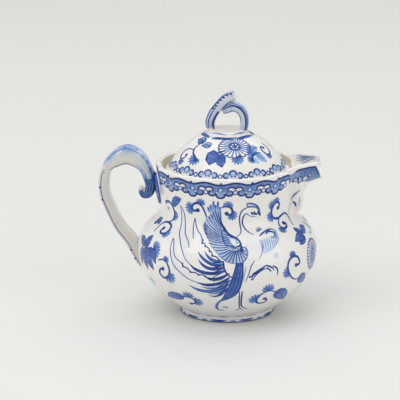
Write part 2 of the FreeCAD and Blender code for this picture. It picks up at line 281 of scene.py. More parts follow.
def refined(table, knots, count=33):
    """More rows of a table, on smooth lines through the given rows at their own spacing."""
    slopes = np.gradient(table, knots, axis=0)
    place = np.linspace(knots[0], knots[-1], count)
    first = np.clip(np.searchsorted(knots, place, side="right") - 1, 0, len(knots) - 2)
    gap = (knots[first + 1] - knots[first])[:, None]
    t = (place - knots[first])[:, None] / gap
    start = (1 + 2 * t) * (1 - t) ** 2 * table[first] + t * (1 - t) ** 2 * gap * slopes[first]
    end = t**2 * (3 - 2 * t) * table[first + 1] - t**2 * (1 - t) * gap * slopes[first + 1]
    return start + end


class TurnedWall:
    """A wall turned about the pot's axis, with lobes that grow towards its lip.

    A place on it is a turn in degrees from the front, positive towards the beak,
    and a rise in millimetres up the wall.
    """

    def __init__(self, profile, lobes=0, lobe_depth=0.0, lobe_start=0.0, lobe_full=1.0):
        self.radius = profile[:, 0]
        self.height = profile[:, 1]
        self.rise = run_lengths(profile)
        self.lobes = lobes
        self.lobe_depth = lobe_depth
        self.lobe_start = lobe_start
        self.lobe_full = lobe_full

    def notch(self, turn, height):
        """How far the wall is drawn in between lobes, for a turn in radians."""
        if not self.lobes:
            return 0.0
        share = turn * self.lobes / (2 * math.pi)
        off_crest = np.abs(2 * (share - np.floor(share)) - 1)
        grown = np.clip((height - self.lobe_start) / (self.lobe_full - self.lobe_start), 0.0, 1.0)
        return self.lobe_depth * grown * off_crest**2

    def point(self, turn, rise):
        turn = np.radians(turn)
        height = np.interp(rise, self.rise, self.height)
        radius = np.interp(rise, self.rise, self.radius) - self.notch(turn, height)
        return np.stack([radius * np.sin(turn), -radius * np.cos(turn), height], -1)


class Band:
    """A band along a smooth path in the plane of the beak and the handle.

    Each station of the path is x, z, a thickness and a width. A place on the band is a share
    of its length and an angle round it in degrees: 0 is the face on the left of the path,
    90 the far side, 180 the right face and 270 the near side.
    """

    def __init__(self, stations, square=2.4, round_start=0.0, round_end=0.0):
        line = smooth_line(stations, 24)
        lengths = run_lengths(line[:, :2])
        self.length = lengths[-1]
        self.share = lengths / self.length
        self.line = line
        way = np.gradient(line[:, :2], axis=0)
        way = way / np.linalg.norm(way, axis=1)[:, None]
        self.out = np.stack([-way[:, 1], way[:, 0]], -1)
        self.square = square
        self.round_start = round_start
        self.round_end = round_end

    def fullness(self, share):
        """Scale of the band's section, less than 1 where an end is rounded."""
        full = np.ones_like(share)
        for rounding, distance in ((self.round_start, share), (self.round_end, 1.0 - share)):
            if rounding:
                inside = np.clip(1.0 - distance * self.length / rounding, 0.0, 1.0)
                full = full * np.sqrt(np.maximum(1.0 - inside**2, 0.0004))
        return full

    def point(self, share, angle):
        share = np.asarray(share, float)
        angle = np.radians(angle)
        read = [np.interp(share, self.share, self.line[:, column]) for column in range(4)]
        out_x = np.interp(share, self.share, self.out[:, 0])
        out_z = np.interp(share, self.share, self.out[:, 1])
        full = self.fullness(share)
        power = 2.0 / self.square
        lean = np.sign(np.cos(angle)) * np.abs(np.cos(angle)) ** power * read[2] / 2 * full
        across = np.sign(np.sin(angle)) * np.abs(np.sin(angle)) ** power * read[3] / 2 * full
        return np.stack([read[0] + out_x * lean, across, read[1] + out_z * lean], -1)


def limb_rings(limb, count, corners):
    """Rings of points round a limb, closer together at its ends."""
    shares = 0.5 - 0.5 * np.cos(np.linspace(0.0, math.pi, count))
    angles = np.arange(corners) * 360.0 / corners
    return [limb.point(np.full(corners, share), angles) for share in shares]


# Making meshes


def clear_selection():
    if bpy.context.mode != "OBJECT":
        bpy.ops.object.mode_set(mode="OBJECT")
    bpy.ops.object.select_all(action="DESELECT")


def new_circle(name, corners, fill):
    """A ring of points in edit mode, ready to be shaped."""
    clear_selection()
    bpy.ops.mesh.primitive_circle_add(vertices=corners, radius=1.0, fill_type=fill)
    piece = bpy.context.object
    piece.name = name
    piece.data.name = name
    bpy.ops.object.mode_set(mode="EDIT")
    return piece


def lathe(name, section, steps):
    """A turned piece: a closed half section, spun about the pot's axis and closed at its poles."""
    piece = new_circle(name, len(section), "NOTHING")
    work = bmesh.from_edit_mesh(piece.data)
    for vert, (radius, height) in zip(work.verts, section):
        vert.co = Vector((radius, 0.0, height)) * MM
    bmesh.update_edit_mesh(piece.data)
    bpy.ops.mesh.select_all(action="SELECT")
    bpy.ops.mesh.spin(steps=steps, angle=2 * math.pi, center=(0, 0, 0), axis=(0, 0, 1))
    bpy.ops.mesh.select_all(action="SELECT")
    bpy.ops.mesh.remove_doubles(threshold=0.004 * MM)
    bpy.ops.mesh.dissolve_degenerate(threshold=0.001 * MM)
    bpy.ops.mesh.select_all(action="SELECT")
    bpy.ops.mesh.normals_make_consistent(inside=False)
    bpy.ops.object.mode_set(mode="OBJECT")
    return piece


def extrude_rings(name, rings):
    """A closed piece: a filled ring of points, extruded from each station to the next."""
    piece = new_circle(name, len(rings[0]), "NGON")
    mesh = piece.data
    work = bmesh.from_edit_mesh(mesh)
    order = work.verts.layers.int.new("ring_order")
    for index, vert in enumerate(work.verts):
        vert[order] = index
        vert.co = Vector(rings[0][index]) * MM
    bmesh.update_edit_mesh(mesh)
    bpy.ops.mesh.select_all(action="SELECT")
    for ring in rings[1:]:
        bpy.ops.mesh.extrude_region_move()
        work = bmesh.from_edit_mesh(mesh)
        order = work.verts.layers.int["ring_order"]
        for vert in work.verts:
            if vert.select:
                vert.co = Vector(ring[vert[order]]) * MM
        bmesh.update_edit_mesh(mesh)
    bpy.ops.mesh.select_all(action="SELECT")
    bpy.ops.mesh.normals_make_consistent(inside=False)
    bpy.ops.object.mode_set(mode="OBJECT")
    return piece


def set_values(piece, name, values):
    """Keep a number for each point of a piece, for its material to read."""
    mesh = piece.data
    kept = mesh.attributes.get(name) or mesh.attributes.new(name, "FLOAT", "POINT")
    values = np.broadcast_to(np.asarray(values, np.float32), (len(mesh.vertices),))
    kept.data.foreach_set("value", np.ascontiguousarray(values))


def grey_facing_sides(piece, amount):
    """Grey a piece's colour on the faces that face front and back, by how squarely they face."""
    facing = np.empty(len(piece.data.vertices) * 3, np.float32)
    piece.data.vertices.foreach_get("normal", facing)
    set_values(piece, "facing_grey", amount * np.abs(facing.reshape(-1, 3)[:, 1]))


def points_of(piece):
    """A piece's points in millimetres."""
    flat = np.empty(len(piece.data.vertices) * 3, np.float32)
    piece.data.vertices.foreach_get("co", flat)
    return flat.reshape(-1, 3) / MM


def move_points(piece, points):
    piece.data.vertices.foreach_set("co", np.ascontiguousarray(points * MM, np.float32).ravel())
    piece.data.update()


def cut_away(piece, cutter):
    """Cut one closed piece out of another and delete the cutter."""
    clear_selection()
    piece.select_set(True)
    bpy.context.view_layer.objects.active = piece
    cut = piece.modifiers.new("cut", "BOOLEAN")
    cut.operation = "DIFFERENCE"
    cut.solver = "EXACT"
    cut.object = cutter
    bpy.ops.object.modifier_apply(modifier=cut.name)
    clear_selection()
    cutter.select_set(True)
    bpy.ops.object.delete()


def smooth(piece, degrees):
    """Smooth shading, with an edge where faces meet at more than an angle."""
    clear_selection()
    piece.select_set(True)
    bpy.context.view_layer.objects.active = piece
    bpy.ops.object.shade_smooth_by_angle(angle=math.radians(degrees))


def settle(piece, body, materials, nodes=()):
    """Give a finished piece its materials, its body and the CAD nodes that it stands for."""
    piece.data.materials.clear()
    for material in materials:
        piece.data.materials.append(material)
    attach(piece, body)
    if nodes:
        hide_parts(*nodes)
    clear_selection()


# Materials


INK_STOPS = {"mist": 0.14, "wash": 0.32, "middle": 0.6, "cobalt": 0.85}
GLAZE_WARMTH = (0.97, 0.955, 0.93, 1.0)
GLAZE_SHINE = {"IOR": 1.45, "Coat Weight": 0.12, "Coat Roughness": 0.04}
TABLE_SHINE = {"Roughness": 0.75, "Specular IOR Level": 0.2}


def set_inputs(node, values):
    for name, value in values.items():
        node.inputs[name].default_value = value


def add_node(tree, kind, inputs=None, **settings):
    """A new shader node with its settings and some of its inputs filled in."""
    node = tree.nodes.new("ShaderNode" + kind)
    for name, value in settings.items():
        setattr(node, name, value)
    set_inputs(node, inputs or {})
    return node


def connect(tree, *links):
    """Link nodes. Each link is a node, its output, the next node and that one's input."""
    for start, output, end, entry in links:
        tree.links.new(start.outputs[output], end.inputs[entry])


def new_group(name, inputs, outputs):
    """A new node group with sockets of the given kinds, and its first and last nodes."""
    group = bpy.data.node_groups.new(name, "ShaderNodeTree")
    for way, sockets in (("INPUT", inputs), ("OUTPUT", outputs)):
        for socket, kind in sockets.items():
            group.interface.new_socket(socket, in_out=way, socket_type="NodeSocket" + kind)
    return group, group.nodes.new("NodeGroupInput"), group.nodes.new("NodeGroupOutput")


def new_material(name):
    """A new material, its node tree, its shader and the coordinates of its piece."""
    material = bpy.data.materials.new(name)
    material.use_nodes = True
    tree = material.node_tree
    return material, tree, tree.nodes["Principled BSDF"], tree.nodes.new("ShaderNodeTexCoord")


def two_tone(tree, tone, tint, low=0.0, high=1.0):
    """A ramp from a tinted tone at a low value to the tone itself at a high one."""
    ramp = add_node(tree, "ValToRGB")
    pale = linear(tone)
    dark, light = ramp.color_ramp.elements
    dark.position = low
    dark.color = (pale[0] * tint[0], pale[1] * tint[1], pale[2] * tint[2], 1.0)
    light.position = high
    light.color = pale
    return ramp


def glaze_ripple_group():
    """Slow ripples and faint pits that all the glazed surfaces share."""
    made = bpy.data.node_groups.get("glaze_ripple")
    if made:
        return made
    group, start, end = new_group(
        "glaze_ripple", {"Vector": "Vector", "Gloss": "Float"}, {"Roughness": "Float", "Height": "Float"}
    )
    slow = add_node(group, "TexNoise", {"Scale": 90.0, "Detail": 2.0})
    fine = add_node(group, "TexNoise", {"Scale": 1400.0, "Detail": 1.0})
    spread = add_node(group, "Math", {1: 0.1}, operation="MULTIPLY_ADD")
    height = add_node(group, "Math", {1: 0.06}, operation="MULTIPLY_ADD")
    connect(
        group,
        (start, "Vector", slow, "Vector"),
        (start, "Vector", fine, "Vector"),
        (slow, "Fac", spread, 0),
        (start, "Gloss", spread, 2),
        (fine, "Fac", height, 0),
        (slow, "Fac", height, 2),
        (spread, 0, end, "Roughness"),
        (height, 0, end, "Height"),
    )
    return group


def brushed_blue_group(glaze):
    """Blue from thin wash to dark line, mottled as a brush leaves it."""
    made = bpy.data.node_groups.get("brushed_blue")
    if made:
        return made
    group, start, end = new_group(
        "brushed_blue", {"Vector": "Vector", "Ink": "Float", "Mottle": "Float"}, {"Color": "Color"}
    )
    pools = add_node(group, "TexNoise", {"Scale": 330.0, "Detail": 4.0, "Roughness": 0.65})
    centred = add_node(group, "Math", {1: 0.5}, operation="SUBTRACT")
    amount = add_node(group, "Math", operation="MULTIPLY")
    strength = add_node(group, "Math", operation="MULTIPLY")
    total = add_node(group, "Math", operation="ADD", use_clamp=True)
    ramp = add_node(group, "ValToRGB")
    stops = ramp.color_ramp.elements
    stops[0].color = linear(glaze.porcelain)
    stops[1].color = linear(glaze.night)
    for shade, position in INK_STOPS.items():
        stops.new(position).color = linear(getattr(glaze, shade))
    connect(
        group,
        (start, "Vector", pools, "Vector"),
        (pools, "Fac", centred, 0),
        (centred, 0, amount, 0),
        (start, "Ink", amount, 1),
        (amount, 0, strength, 0),
        (start, "Mottle", strength, 1),
        (start, "Ink", total, 0),
        (strength, 0, total, 1),
        (total, 0, ramp, "Fac"),
        (ramp, "Color", end, "Color"),
    )
    return group


def glazed_porcelain(glaze):
    """White porcelain with blue under a clear glaze. Its ink says where blue shows, its facing grey how far
    it is greyed.
    """
    made = bpy.data.materials.get("glazed_porcelain")
    if made:
        return made
    material, tree, shader, place = new_material("glazed_porcelain")
    tint = {"data_type": "RGBA", "blend_type": "MULTIPLY"}
    ink = add_node(tree, "Attribute", attribute_name="ink")
    facing_grey = add_node(tree, "Attribute", attribute_name="facing_grey")
    blue = add_node(tree, "Group", {"Mottle": 0.9}, node_tree=brushed_blue_group(glaze))
    ripple = add_node(tree, "Group", {"Gloss": 0.06}, node_tree=glaze_ripple_group())
    cloud = add_node(tree, "TexNoise", {"Scale": 28.0, "Detail": 3.0})
    warmth = add_node(tree, "Mix", {"B": GLAZE_WARMTH}, **tint)
    # Faces that face front and back are greyed by the facing tint
    worn = add_node(tree, "Mix", {"B": linear(glaze.worn)}, **tint)
    bump = add_node(tree, "Bump", {"Strength": 0.12, "Distance": 0.0004})
    connect(
        tree,
        (place, "Object", blue, "Vector"),
        (place, "Object", ripple, "Vector"),
        (place, "Object", cloud, "Vector"),
        (ink, "Fac", blue, "Ink"),
        (cloud, "Fac", warmth, "Factor"),
        (blue, "Color", warmth, "A"),
        (facing_grey, "Fac", worn, "Factor"),
        (warmth, "Result", worn, "A"),
        (worn, "Result", shader, "Base Color"),
        (ripple, "Roughness", shader, "Roughness"),
        (ripple, "Height", bump, "Height"),
        (bump, "Normal", shader, "Normal"),
    )
    set_inputs(shader, GLAZE_SHINE)
    return material


def bare_clay(name, tone):
    """Unglazed porcelain clay: matt, warm, with fine grit."""
    made = bpy.data.materials.get(name)
    if made:
        return made
    material, tree, shader, place = new_material(name)
    grit = add_node(tree, "TexNoise", {"Scale": 900.0, "Detail": 5.0})
    shade = two_tone(tree, tone, (0.72, 0.68, 0.6), 0.3, 0.6)
    rough = add_node(tree, "MapRange", {"To Min": 0.6, "To Max": 0.9})
    bump = add_node(tree, "Bump", {"Strength": 0.4, "Distance": 0.0003})
    connect(
        tree,
        (place, "Object", grit, "Vector"),
        (grit, "Fac", shade, "Fac"),
        (grit, "Fac", rough, "Value"),
        (grit, "Fac", bump, "Height"),
        (shade, "Color", shader, "Base Color"),
        (rough, "Result", shader, "Roughness"),
        (bump, "Normal", shader, "Normal"),
    )
    return material


def table_top(glaze):
    """Matt pale table top with faint unevenness."""
    material, tree, shader, place = new_material("table_top")
    cloud = add_node(tree, "TexNoise", {"Scale": 3.0})
    shade = two_tone(tree, glaze.floor, (0.97, 0.97, 0.965))
    connect(
        tree,
        (place, "Object", cloud, "Vector"),
        (cloud, "Fac", shade, "Fac"),
        (shade, "Color", shader, "Base Color"),
    )
    set_inputs(shader, TABLE_SHINE)
    return material


# Shapes of the pieces


# Rounding of the edges of the pot's foot and seat
POT_SOFT = 0.7


def pot_profile(pot):
    """The outside of the pot, from the joint with its foot up to the turn of its lip."""
    foot = (pot.foot_radius - pot.foot_taper, pot.foot_height)
    belly = (pot.belly_radius, pot.belly_height)
    neck = (pot.neck_radius, pot.neck_height)
    lip = (pot.neck_radius + 0.42 * (pot.rim_radius - pot.neck_radius), pot.rim_height - pot.lip_height)
    edge = (pot.rim_radius, pot.rim_height - pot.lip_round)
    bowl_rise = belly[1] - foot[1]
    shoulder_rise = neck[1] - belly[1]
    lip_flare = edge[0] - lip[0]
    lip_rise = edge[1] - lip[1]
    return joined(
        bezier(
            foot,
            (foot[0] + 0.3 * (belly[0] - foot[0]), foot[1] + 0.14 * bowl_rise),
            (belly[0], foot[1] + 0.5 * bowl_rise),
            belly,
            steps=36,
        ),
        bezier(
            belly,
            (belly[0], belly[1] + 0.66 * shoulder_rise),
            (neck[0], neck[1] - 0.42 * shoulder_rise),
            neck,
            steps=36,
        ),
        bezier(neck, (neck[0], neck[1] + 0.45 * (lip[1] - neck[1])), lip, steps=12),
        bezier(
            lip,
            (lip[0] + 0.33 * lip_flare, lip[1] + 0.35 * lip_rise),
            (lip[0] + 0.86 * lip_flare, lip[1] + 0.75 * lip_rise),
            edge,
            steps=10,
        ),
    )


def pot_wall(pot):
    """The outside of the pot as a surface to paint on."""
    return TurnedWall(
        pot_profile(pot),
        pot.lobes,
        pot.lobe_depth,
        pot.rim_height - pot.lip_height,
        pot.rim_height - pot.lip_round,
    )


def foot_side(pot):
    """The lower and the upper end of the foot ring's side."""
    return (pot.foot_radius, POT_SOFT), (pot.foot_radius - 0.5 * pot.foot_taper, 0.6 * pot.foot_height)


def pot_section(pot):
    """The closed half section of the pot: foot, outside, lip, lid seat and inside."""
    soft = POT_SOFT
    half_lip = 2.0
    lip_lean = 2.4
    outside = pot_profile(pot)
    ring_inside = pot.foot_radius - pot.foot_ring
    inside_belly = pot.belly_radius - pot.wall
    inside_neck = pot.neck_radius - pot.wall
    inside_floor = pot.foot_recess + pot.floor
    shoulder_rise = pot.neck_height - pot.belly_height
    seat = pot.rim_height - pot.seat_depth
    seat_under = seat - pot.seat_thickness
    slope_foot = seat_under - pot.seat_slope
    top = pot.rim_height
    lip_middle = pot.rim_radius - half_lip
    lip_inside = lip_middle - half_lip
    lip_turn = (lip_inside - 0.4, top - 1.2)
    seat_outside = lip_inside - lip_lean
    foot = joined(
        [(0.0, pot.foot_recess)],
        rounded((ring_inside, pot.foot_recess), (-soft, 0.0), (0.0, -soft)),
        rounded((ring_inside, 0.0), (0.0, soft), (soft, 0.0)),
        rounded((pot.foot_radius, 0.0), (-soft, 0.0), (0.0, soft)),
        bezier(foot_side(pot)[1], (outside[0][0], outside[0][1] - 0.2), outside[1], steps=5),
    )
    lip = joined(
        bezier(outside[-1], (pot.rim_radius, top), (lip_middle, top), steps=6),
        bezier((lip_middle, top), (lip_inside, top), lip_turn, steps=6),
        bezier(lip_turn, (seat_outside, seat + 0.6), (seat_outside, seat), steps=6),
        rounded((pot.seat_bore, seat), (soft, 0.0), (0.0, -soft)),
        rounded((pot.seat_bore, seat_under), (0.0, soft), (soft, -soft)),
    )
    inside = joined(
        rounded((inside_neck, slope_foot), (-1.0, 1.0), (0.0, -1.5), steps=5),
        bezier(
            (inside_neck, pot.neck_height),
            (inside_neck, pot.neck_height - 0.42 * shoulder_rise),
            (inside_belly, pot.belly_height + 0.62 * shoulder_rise),
            (inside_belly, pot.belly_height),
        ),
        bezier(
            (inside_belly, pot.belly_height),
            (inside_belly, inside_floor + 0.42 * (pot.belly_height - inside_floor)),
            (0.72 * inside_belly, inside_floor),
            (0.0, inside_floor),
        ),
    )
    return joined(foot, outside[2:], lip, inside)


class BeakShape:
    """The open beak: a gutter whose section opens from a V at the neck to a U at the mouth.

    A place on its wall is a share of the way from the neck to the mouth, and a share of the way
    round, from 0 at the near top edge under the keel to 1 at the far top edge.
    """

    def __init__(self, pot, beak):
        self.pot = pot
        self.beak = beak
        self.wall = pot_wall(pot)
        self.tip = pot.rim_radius + beak.reach
        self.tip_height = pot.rim_height - beak.tip_drop
        self.corner_height = pot.rim_height + beak.corner_rise
        self.edge_round = 0.45 * beak.wall
        inside_neck = pot.neck_radius - pot.wall
        # Five stations from the neck to the mouth
        sides = [beak.half_width + share * beak.root_spread for share in (1.0, 0.68, 0.38, 0.09, -0.1)]
        tops = [pot.rim_height + share * beak.corner_rise for share in (-0.42, 0.6, 0.8, 0.92, 1.0)]
        keel = [
            pot.neck_height - beak.root_drop,
            pot.neck_height - 0.42 * beak.root_drop,
            self.tip_height - beak.belly_drop,
            self.tip_height - 0.28 * beak.belly_drop,
            self.tip_height,
        ]
        places = [pot.rim_radius + share * beak.reach for share in (-0.08, 0.28, 0.66, 1.0)]
        places.insert(0, inside_neck - beak.root_depth)
        fullness = [0.0, 0.0, 0.6, 1.0, 1.0]
        outer = np.stack([places, sides, tops, keel, fullness], -1)
        inner = outer.copy()
        inner[:, 1] -= beak.wall
        inner[:, 3] = np.maximum(inner[:, 3] + beak.wall, self.tip_height - beak.channel_depth)
        inner[-1, 3] = self.tip_height + 1.2
        inner[:, 4] = 0.5 + 0.5 * inner[:, 4]
        knots = run_lengths(outer[:, [0, 3]])
        self.outer = refined(outer, knots)
        self.inner = refined(inner, knots)

    def section(self, stations, along, around):
        """Points on the outer or the inner gutter."""
        along = np.asarray(along, float)
        row = weights(along * (len(stations) - 1), len(stations)) @ stations
        # A V where full is 0 and a U where it is 1
        x, half, top, bottom, full = row.T
        deep = top - bottom
        side = (0.64 + 0.3 * full) * half
        bilge = (0.22 + 0.33 * full) * half
        across = np.stack([-half, -side, -bilge, 0 * half, bilge, side, half], -1)
        middle = top - 0.5 * deep
        low = top - 0.88 * deep
        heights = np.stack([top, middle, low, bottom, low, middle, top], -1)
        shares = weights(np.asarray(around, float) * 6, 7)
        y = (shares * across).sum(-1)
        z = (shares * heights).sum(-1)
        slope = self.beak.corner_setback / (self.corner_height - self.tip_height)
        end = self.tip - (z - self.tip_height) * slope
        first = stations[0, 0]
        x = first + (x - first) * (end - first) / (stations[-1, 0] - first)
        return np.stack([x, y, z], -1)

    def root(self, stations, around, bury):
        """Where along it the gutter comes out of the neck, less the depth that it stays buried."""
        low = np.zeros(len(around))
        high = np.ones(len(around))
        for _ in range(24):
            middle = 0.5 * (low + high)
            point = self.section(stations, middle, around)
            radius = np.interp(point[:, 2], self.wall.height, self.wall.radius) - bury
            out = np.hypot(point[:, 0], point[:, 1]) > radius
            high = np.where(out, middle, high)
            low = np.where(out, low, middle)
        return high

    def point_on(self, stations, along, around, bury=0.0):
        """Points on the outer or the inner wall, which sinks a little towards its rounded top edge."""
        around = np.asarray(around, float)
        start = self.root(stations, around, bury)
        point = self.section(stations, start + np.asarray(along, float) * (1.0 - start), around)
        sink = np.clip(1.0 - np.minimum(around, 1.0 - around) * 6.0, 0.0, 1.0)
        point[:, 2] -= self.edge_round * sink
        return point

    def rings(self, count, corners):
        """Closed rings round the gutter's wall: outside, far edge, inside and near edge."""
        around = np.linspace(0.0, 1.0, corners)
        turn = np.linspace(0.0, math.pi, 9)[1:-1, None]
        rings = []
        for along in np.linspace(0.0, 1.0, count):
            outside = self.point_on(self.outer, np.full(corners, along), around, bury=1.5)
            inside = self.point_on(self.inner, np.full(corners, along), around, bury=self.pot.wall)
            edges = []
            for start, end in ((outside[-1], inside[-1]), (inside[0], outside[0])):
                middle = 0.5 * (start + end)
                edge = middle + (start - middle) * np.cos(turn)
                edge[:, 2:] += self.edge_round * np.sin(turn)
                edges.append(edge)
            rings.append(np.vstack([outside, edges[0], inside[::-1], edges[1]]))
        return rings

    def cutter_rings(self, spare):
        """Rings of the channel that is cut through the neck, a little wider than the gutter inside."""
        corners = 25
        reach_back = 8.0
        headroom = np.array([0.0, 0.0, 14.0])
        around = np.linspace(0.0, 1.0, corners)
        stations = self.inner.copy()
        stations[:, 1] += spare
        stations[:, 3] -= spare
        stations[:, 0] -= reach_back * np.linspace(1.0, 0.0, len(stations)) ** 2
        rings = []
        for along in np.linspace(0.0, 0.8, 20):
            bottom = self.section(stations, np.full(corners, along), around)
            rings.append(np.vstack([bottom, bottom[[-1, 0]] + headroom]))
        return rings


class BeakWall:
    """One wall of the beak as a surface to paint on: a share along it and a share down it."""

    def __init__(self, shape, inside, far):
        self.shape = shape
        self.stations = shape.inner if inside else shape.outer
        self.far = far

    def point(self, along, down):
        around = np.asarray(down, float) * 0.5
        return self.shape.point_on(self.stations, along, 1.0 - around if self.far else around)


def handle_bands(pot, handle):
    """The handle's scroll and strap as bands, by shares of the handle's sizes."""
    outer = -(pot.belly_radius + handle.reach)
    top = pot.rim_height + handle.rise
    curl_x = -pot.neck_radius - handle.leaf_thickness - handle.curl_radius - handle.curl_gap
    curl_z = pot.rim_height - handle.leaf_drop - 0.6 * handle.leaf_length
    curl = handle.curl_radius
    drop = top - curl_z
    end = handle.scroll_end
    thick = handle.scroll_thickness
    width = handle.scroll_width
    scroll = Band(
        [
            (outer + 0.05 * handle.reach, top - 0.46 * drop, 0.8 * end, 0.78 * width),
            (outer + 0.192 * handle.reach, top - 0.232 * drop, 1.1 * end, 0.9 * width),
            (outer + 0.632 * handle.reach, top, thick, width),
            (outer + 0.976 * handle.reach, top - 0.098 * drop, 0.9 * thick, width),
            (curl_x - 0.28 * curl, top - 0.347 * drop, 1.06 * end, width),
            (curl_x + 0.4 * curl, curl_z + 1.4 * curl, 1.02 * end, width),
            (curl_x + 0.42 * curl, curl_z + 0.5 * curl, 0.95 * end, width),
            (curl_x + 0.12 * curl, curl_z - 0.26 * curl, 0.82 * end, width),
            (curl_x - 0.4 * curl, curl_z - 0.42 * curl, 0.64 * end, 0.96 * width),
            (curl_x - 0.78 * curl, curl_z + 0.02 * curl, 0.46 * end, 0.9 * width),
            (curl_x - 0.74 * curl, curl_z + 0.5 * curl, 0.36 * end, 0.84 * width),
        ],
        square=2.7,
        round_start=4.0,
        round_end=1.8,
    )
    strap_drop = top - pot.belly_height + handle.foot_drop
    # In from the handle's outermost point, down from the scroll, thickness and width
    shares = [
        (0.11, 0.105, 0.86, 0.8),
        (0.0, 0.218, 1.02, 0.96),
        (0.01, 0.37, 1.0, 1.0),
        (0.226, 0.546, 1.0, 1.0),
        (0.466, 0.69, 1.04, 1.0),
        (0.8, 0.822, 1.14, 1.05),
        (1.128, 1.01, 1.1, 1.1),
        (1.4, 1.08, 0.9, 1.0),
    ]
    strap = Band(
        [
            (
                outer + out * handle.reach,
                top - down * strap_drop,
                deep * handle.strap_thickness,
                wide * handle.strap_width,
            )
            for out, down, deep, wide in shares
        ],
        square=3.6,
        round_start=3.0,
    )
    return scroll, strap


# Half widths of the leaf as shares of its widest, from its tip up
LEAF_OUTLINE = [
    (0.0, 0.04), (0.04, 0.2), (0.2, 0.52), (0.45, 0.86), (0.65, 1.0), (0.85, 0.86), (0.96, 0.48), (1.0, 0.1),
]


class LeafPad:
    """The leaf on the neck behind the handle's curl: a share of its length and an angle across it."""

    def __init__(self, pot, handle):
        self.wall = pot_wall(pot)
        self.half = handle.leaf_width / 2
        self.thick = handle.leaf_thickness
        self.top = pot.rim_height - handle.leaf_drop
        self.length = handle.leaf_length

    def point(self, share, angle):
        share = np.asarray(share, float)
        angle = np.radians(angle)
        height = self.top - self.length * (1.0 - share)
        outline = np.interp(share, *zip(*LEAF_OUTLINE))
        radius = np.interp(height, self.wall.height, self.wall.radius)
        across = self.half * outline * np.cos(angle)
        lift = self.thick * np.sqrt(outline) * np.maximum(np.sin(angle), -0.3)
        turn = -0.5 * math.pi + across / radius
        radius = radius + lift
        return np.stack([radius * np.sin(turn), -radius * np.cos(turn), height], -1)


def lid_profile(lid):
    """The outside of the lid from the bevel of its edge up to the knob's pad."""
    shoulder = (lid.radius - lid.bevel, lid.bottom + lid.edge)
    run = shoulder[0] - lid.top_radius
    top = shoulder[1] + lid.rise
    return bezier(
        shoulder,
        (shoulder[0] - 0.09 * run, shoulder[1] + 0.26 * lid.rise),
        (lid.top_radius + 0.39 * run, top - 0.1 * lid.rise),
        (lid.top_radius, top),
        steps=48,
    )


def lid_section(lid):
    """The closed half section of the lid's dome with its flat edge and hollow."""
    outside = lid_profile(lid)
    shoulder = outside[0]
    top = outside[-1][1]
    hollow = lid.collar_radius - lid.collar_width
    hollow_top = top - lid.wall
    soft = 0.6
    under = joined(
        bezier(
            (0.0, hollow_top),
            (0.68 * hollow, hollow_top),
            (0.97 * hollow, shoulder[1] + 0.32 * lid.rise),
            (hollow, shoulder[1]),
        ),
        rounded((hollow, lid.bottom), (0.0, soft), (soft, 0.0)),
    )
    edge = joined(
        rounded((lid.radius, lid.bottom), (-soft, 0.0), (0.0, soft)),
        bezier(
            (lid.radius, shoulder[1] - 1.6),
            (lid.radius, shoulder[1] - 0.5),
            (shoulder[0] + 0.2, shoulder[1] - 0.3),
            outside[1],
            steps=8,
        ),
    )
    return joined(under, edge, outside[2:], [(0.0, top)])


def collar_section(lid):
    """The closed half section of the lid's locating collar, rounded at its lower edge."""
    hollow = lid.collar_radius - lid.collar_width
    soft = 1.0
    low = lid.collar_bottom
    return joined(
        [(hollow, lid.bottom)],
        rounded((hollow, low), (0.0, soft), (soft, 0.0), steps=5),
        rounded((lid.collar_radius, low), (-soft, 0.0), (0.0, soft), steps=5),
        [(lid.collar_radius, lid.bottom)],
    )


def pad_profile(lid):
    """The side of the knob's pad, flared where it meets the dome."""
    base = lid_profile(lid)[-1][1]
    top = base + lid.pad_height
    foot = lid.pad_radius
    neck = foot - 0.9
    waist = (neck, base + 0.55 * lid.pad_height)
    return joined(
        bezier((foot, base - 0.6), (foot, base), (neck, base + 0.5), waist, steps=8),
        bezier(waist, (neck, top), (neck - 1.6, top), steps=8),
    )


def pad_section(lid):
    """The closed half section of the knob's pad."""
    side = pad_profile(lid)
    return joined([(0.0, side[0][1]), tuple(side[0])], side, [(0.0, side[-1][1])])


def knob_bands(lid, knob):
    """The knob's two limbs: the one that ends in a leaf and the one that curls over."""
    base = lid_profile(lid)[-1][1] + lid.pad_height
    span = knob.half_span
    loop = knob.loop_rise
    thick = knob.thickness
    width = knob.width
    leaf = Band(
        [
            (-0.9 * span, base - knob.sink, 0.9 * thick, width),
            (-1.0 * span, base + 0.3 * loop, thick, width),
            (-0.8 * span, base + 0.7 * loop, thick, width),
            (-0.46 * span, base + 1.05 * loop, thick, width),
            (-0.02 * span, base + 0.9 * knob.leaf_rise, 1.02 * thick, width),
            (0.5 * span, base + knob.leaf_rise, 0.92 * thick, 0.9 * width),
        ],
        square=2.8,
        round_end=1.6,
    )
    curl = Band(
        [
            (0.92 * span, base - knob.sink, 0.86 * thick, width),
            (1.0 * span, base + 0.3 * loop, 0.9 * thick, width),
            (0.94 * span, base + 0.66 * loop, 0.9 * thick, width),
            (0.69 * span, base + 0.91 * loop, 0.92 * thick, width),
            (0.31 * span, base + loop, 0.92 * thick, width),
            (0.0, base + 0.905 * loop, 0.86 * thick, 0.96 * width),
            (-0.34 * span, base + 0.81 * loop, 0.7 * thick, 0.86 * width),
        ],
        square=2.8,
        round_end=1.6,
    )
    return leaf, curl


# Painting


def ink_along(ink, share):
    """Ink at shares of a line, from one value or from a few spread evenly along it."""
    inks = np.atleast_1d(ink)
    return np.interp(share, np.linspace(0.0, 1.0, len(inks)), inks)


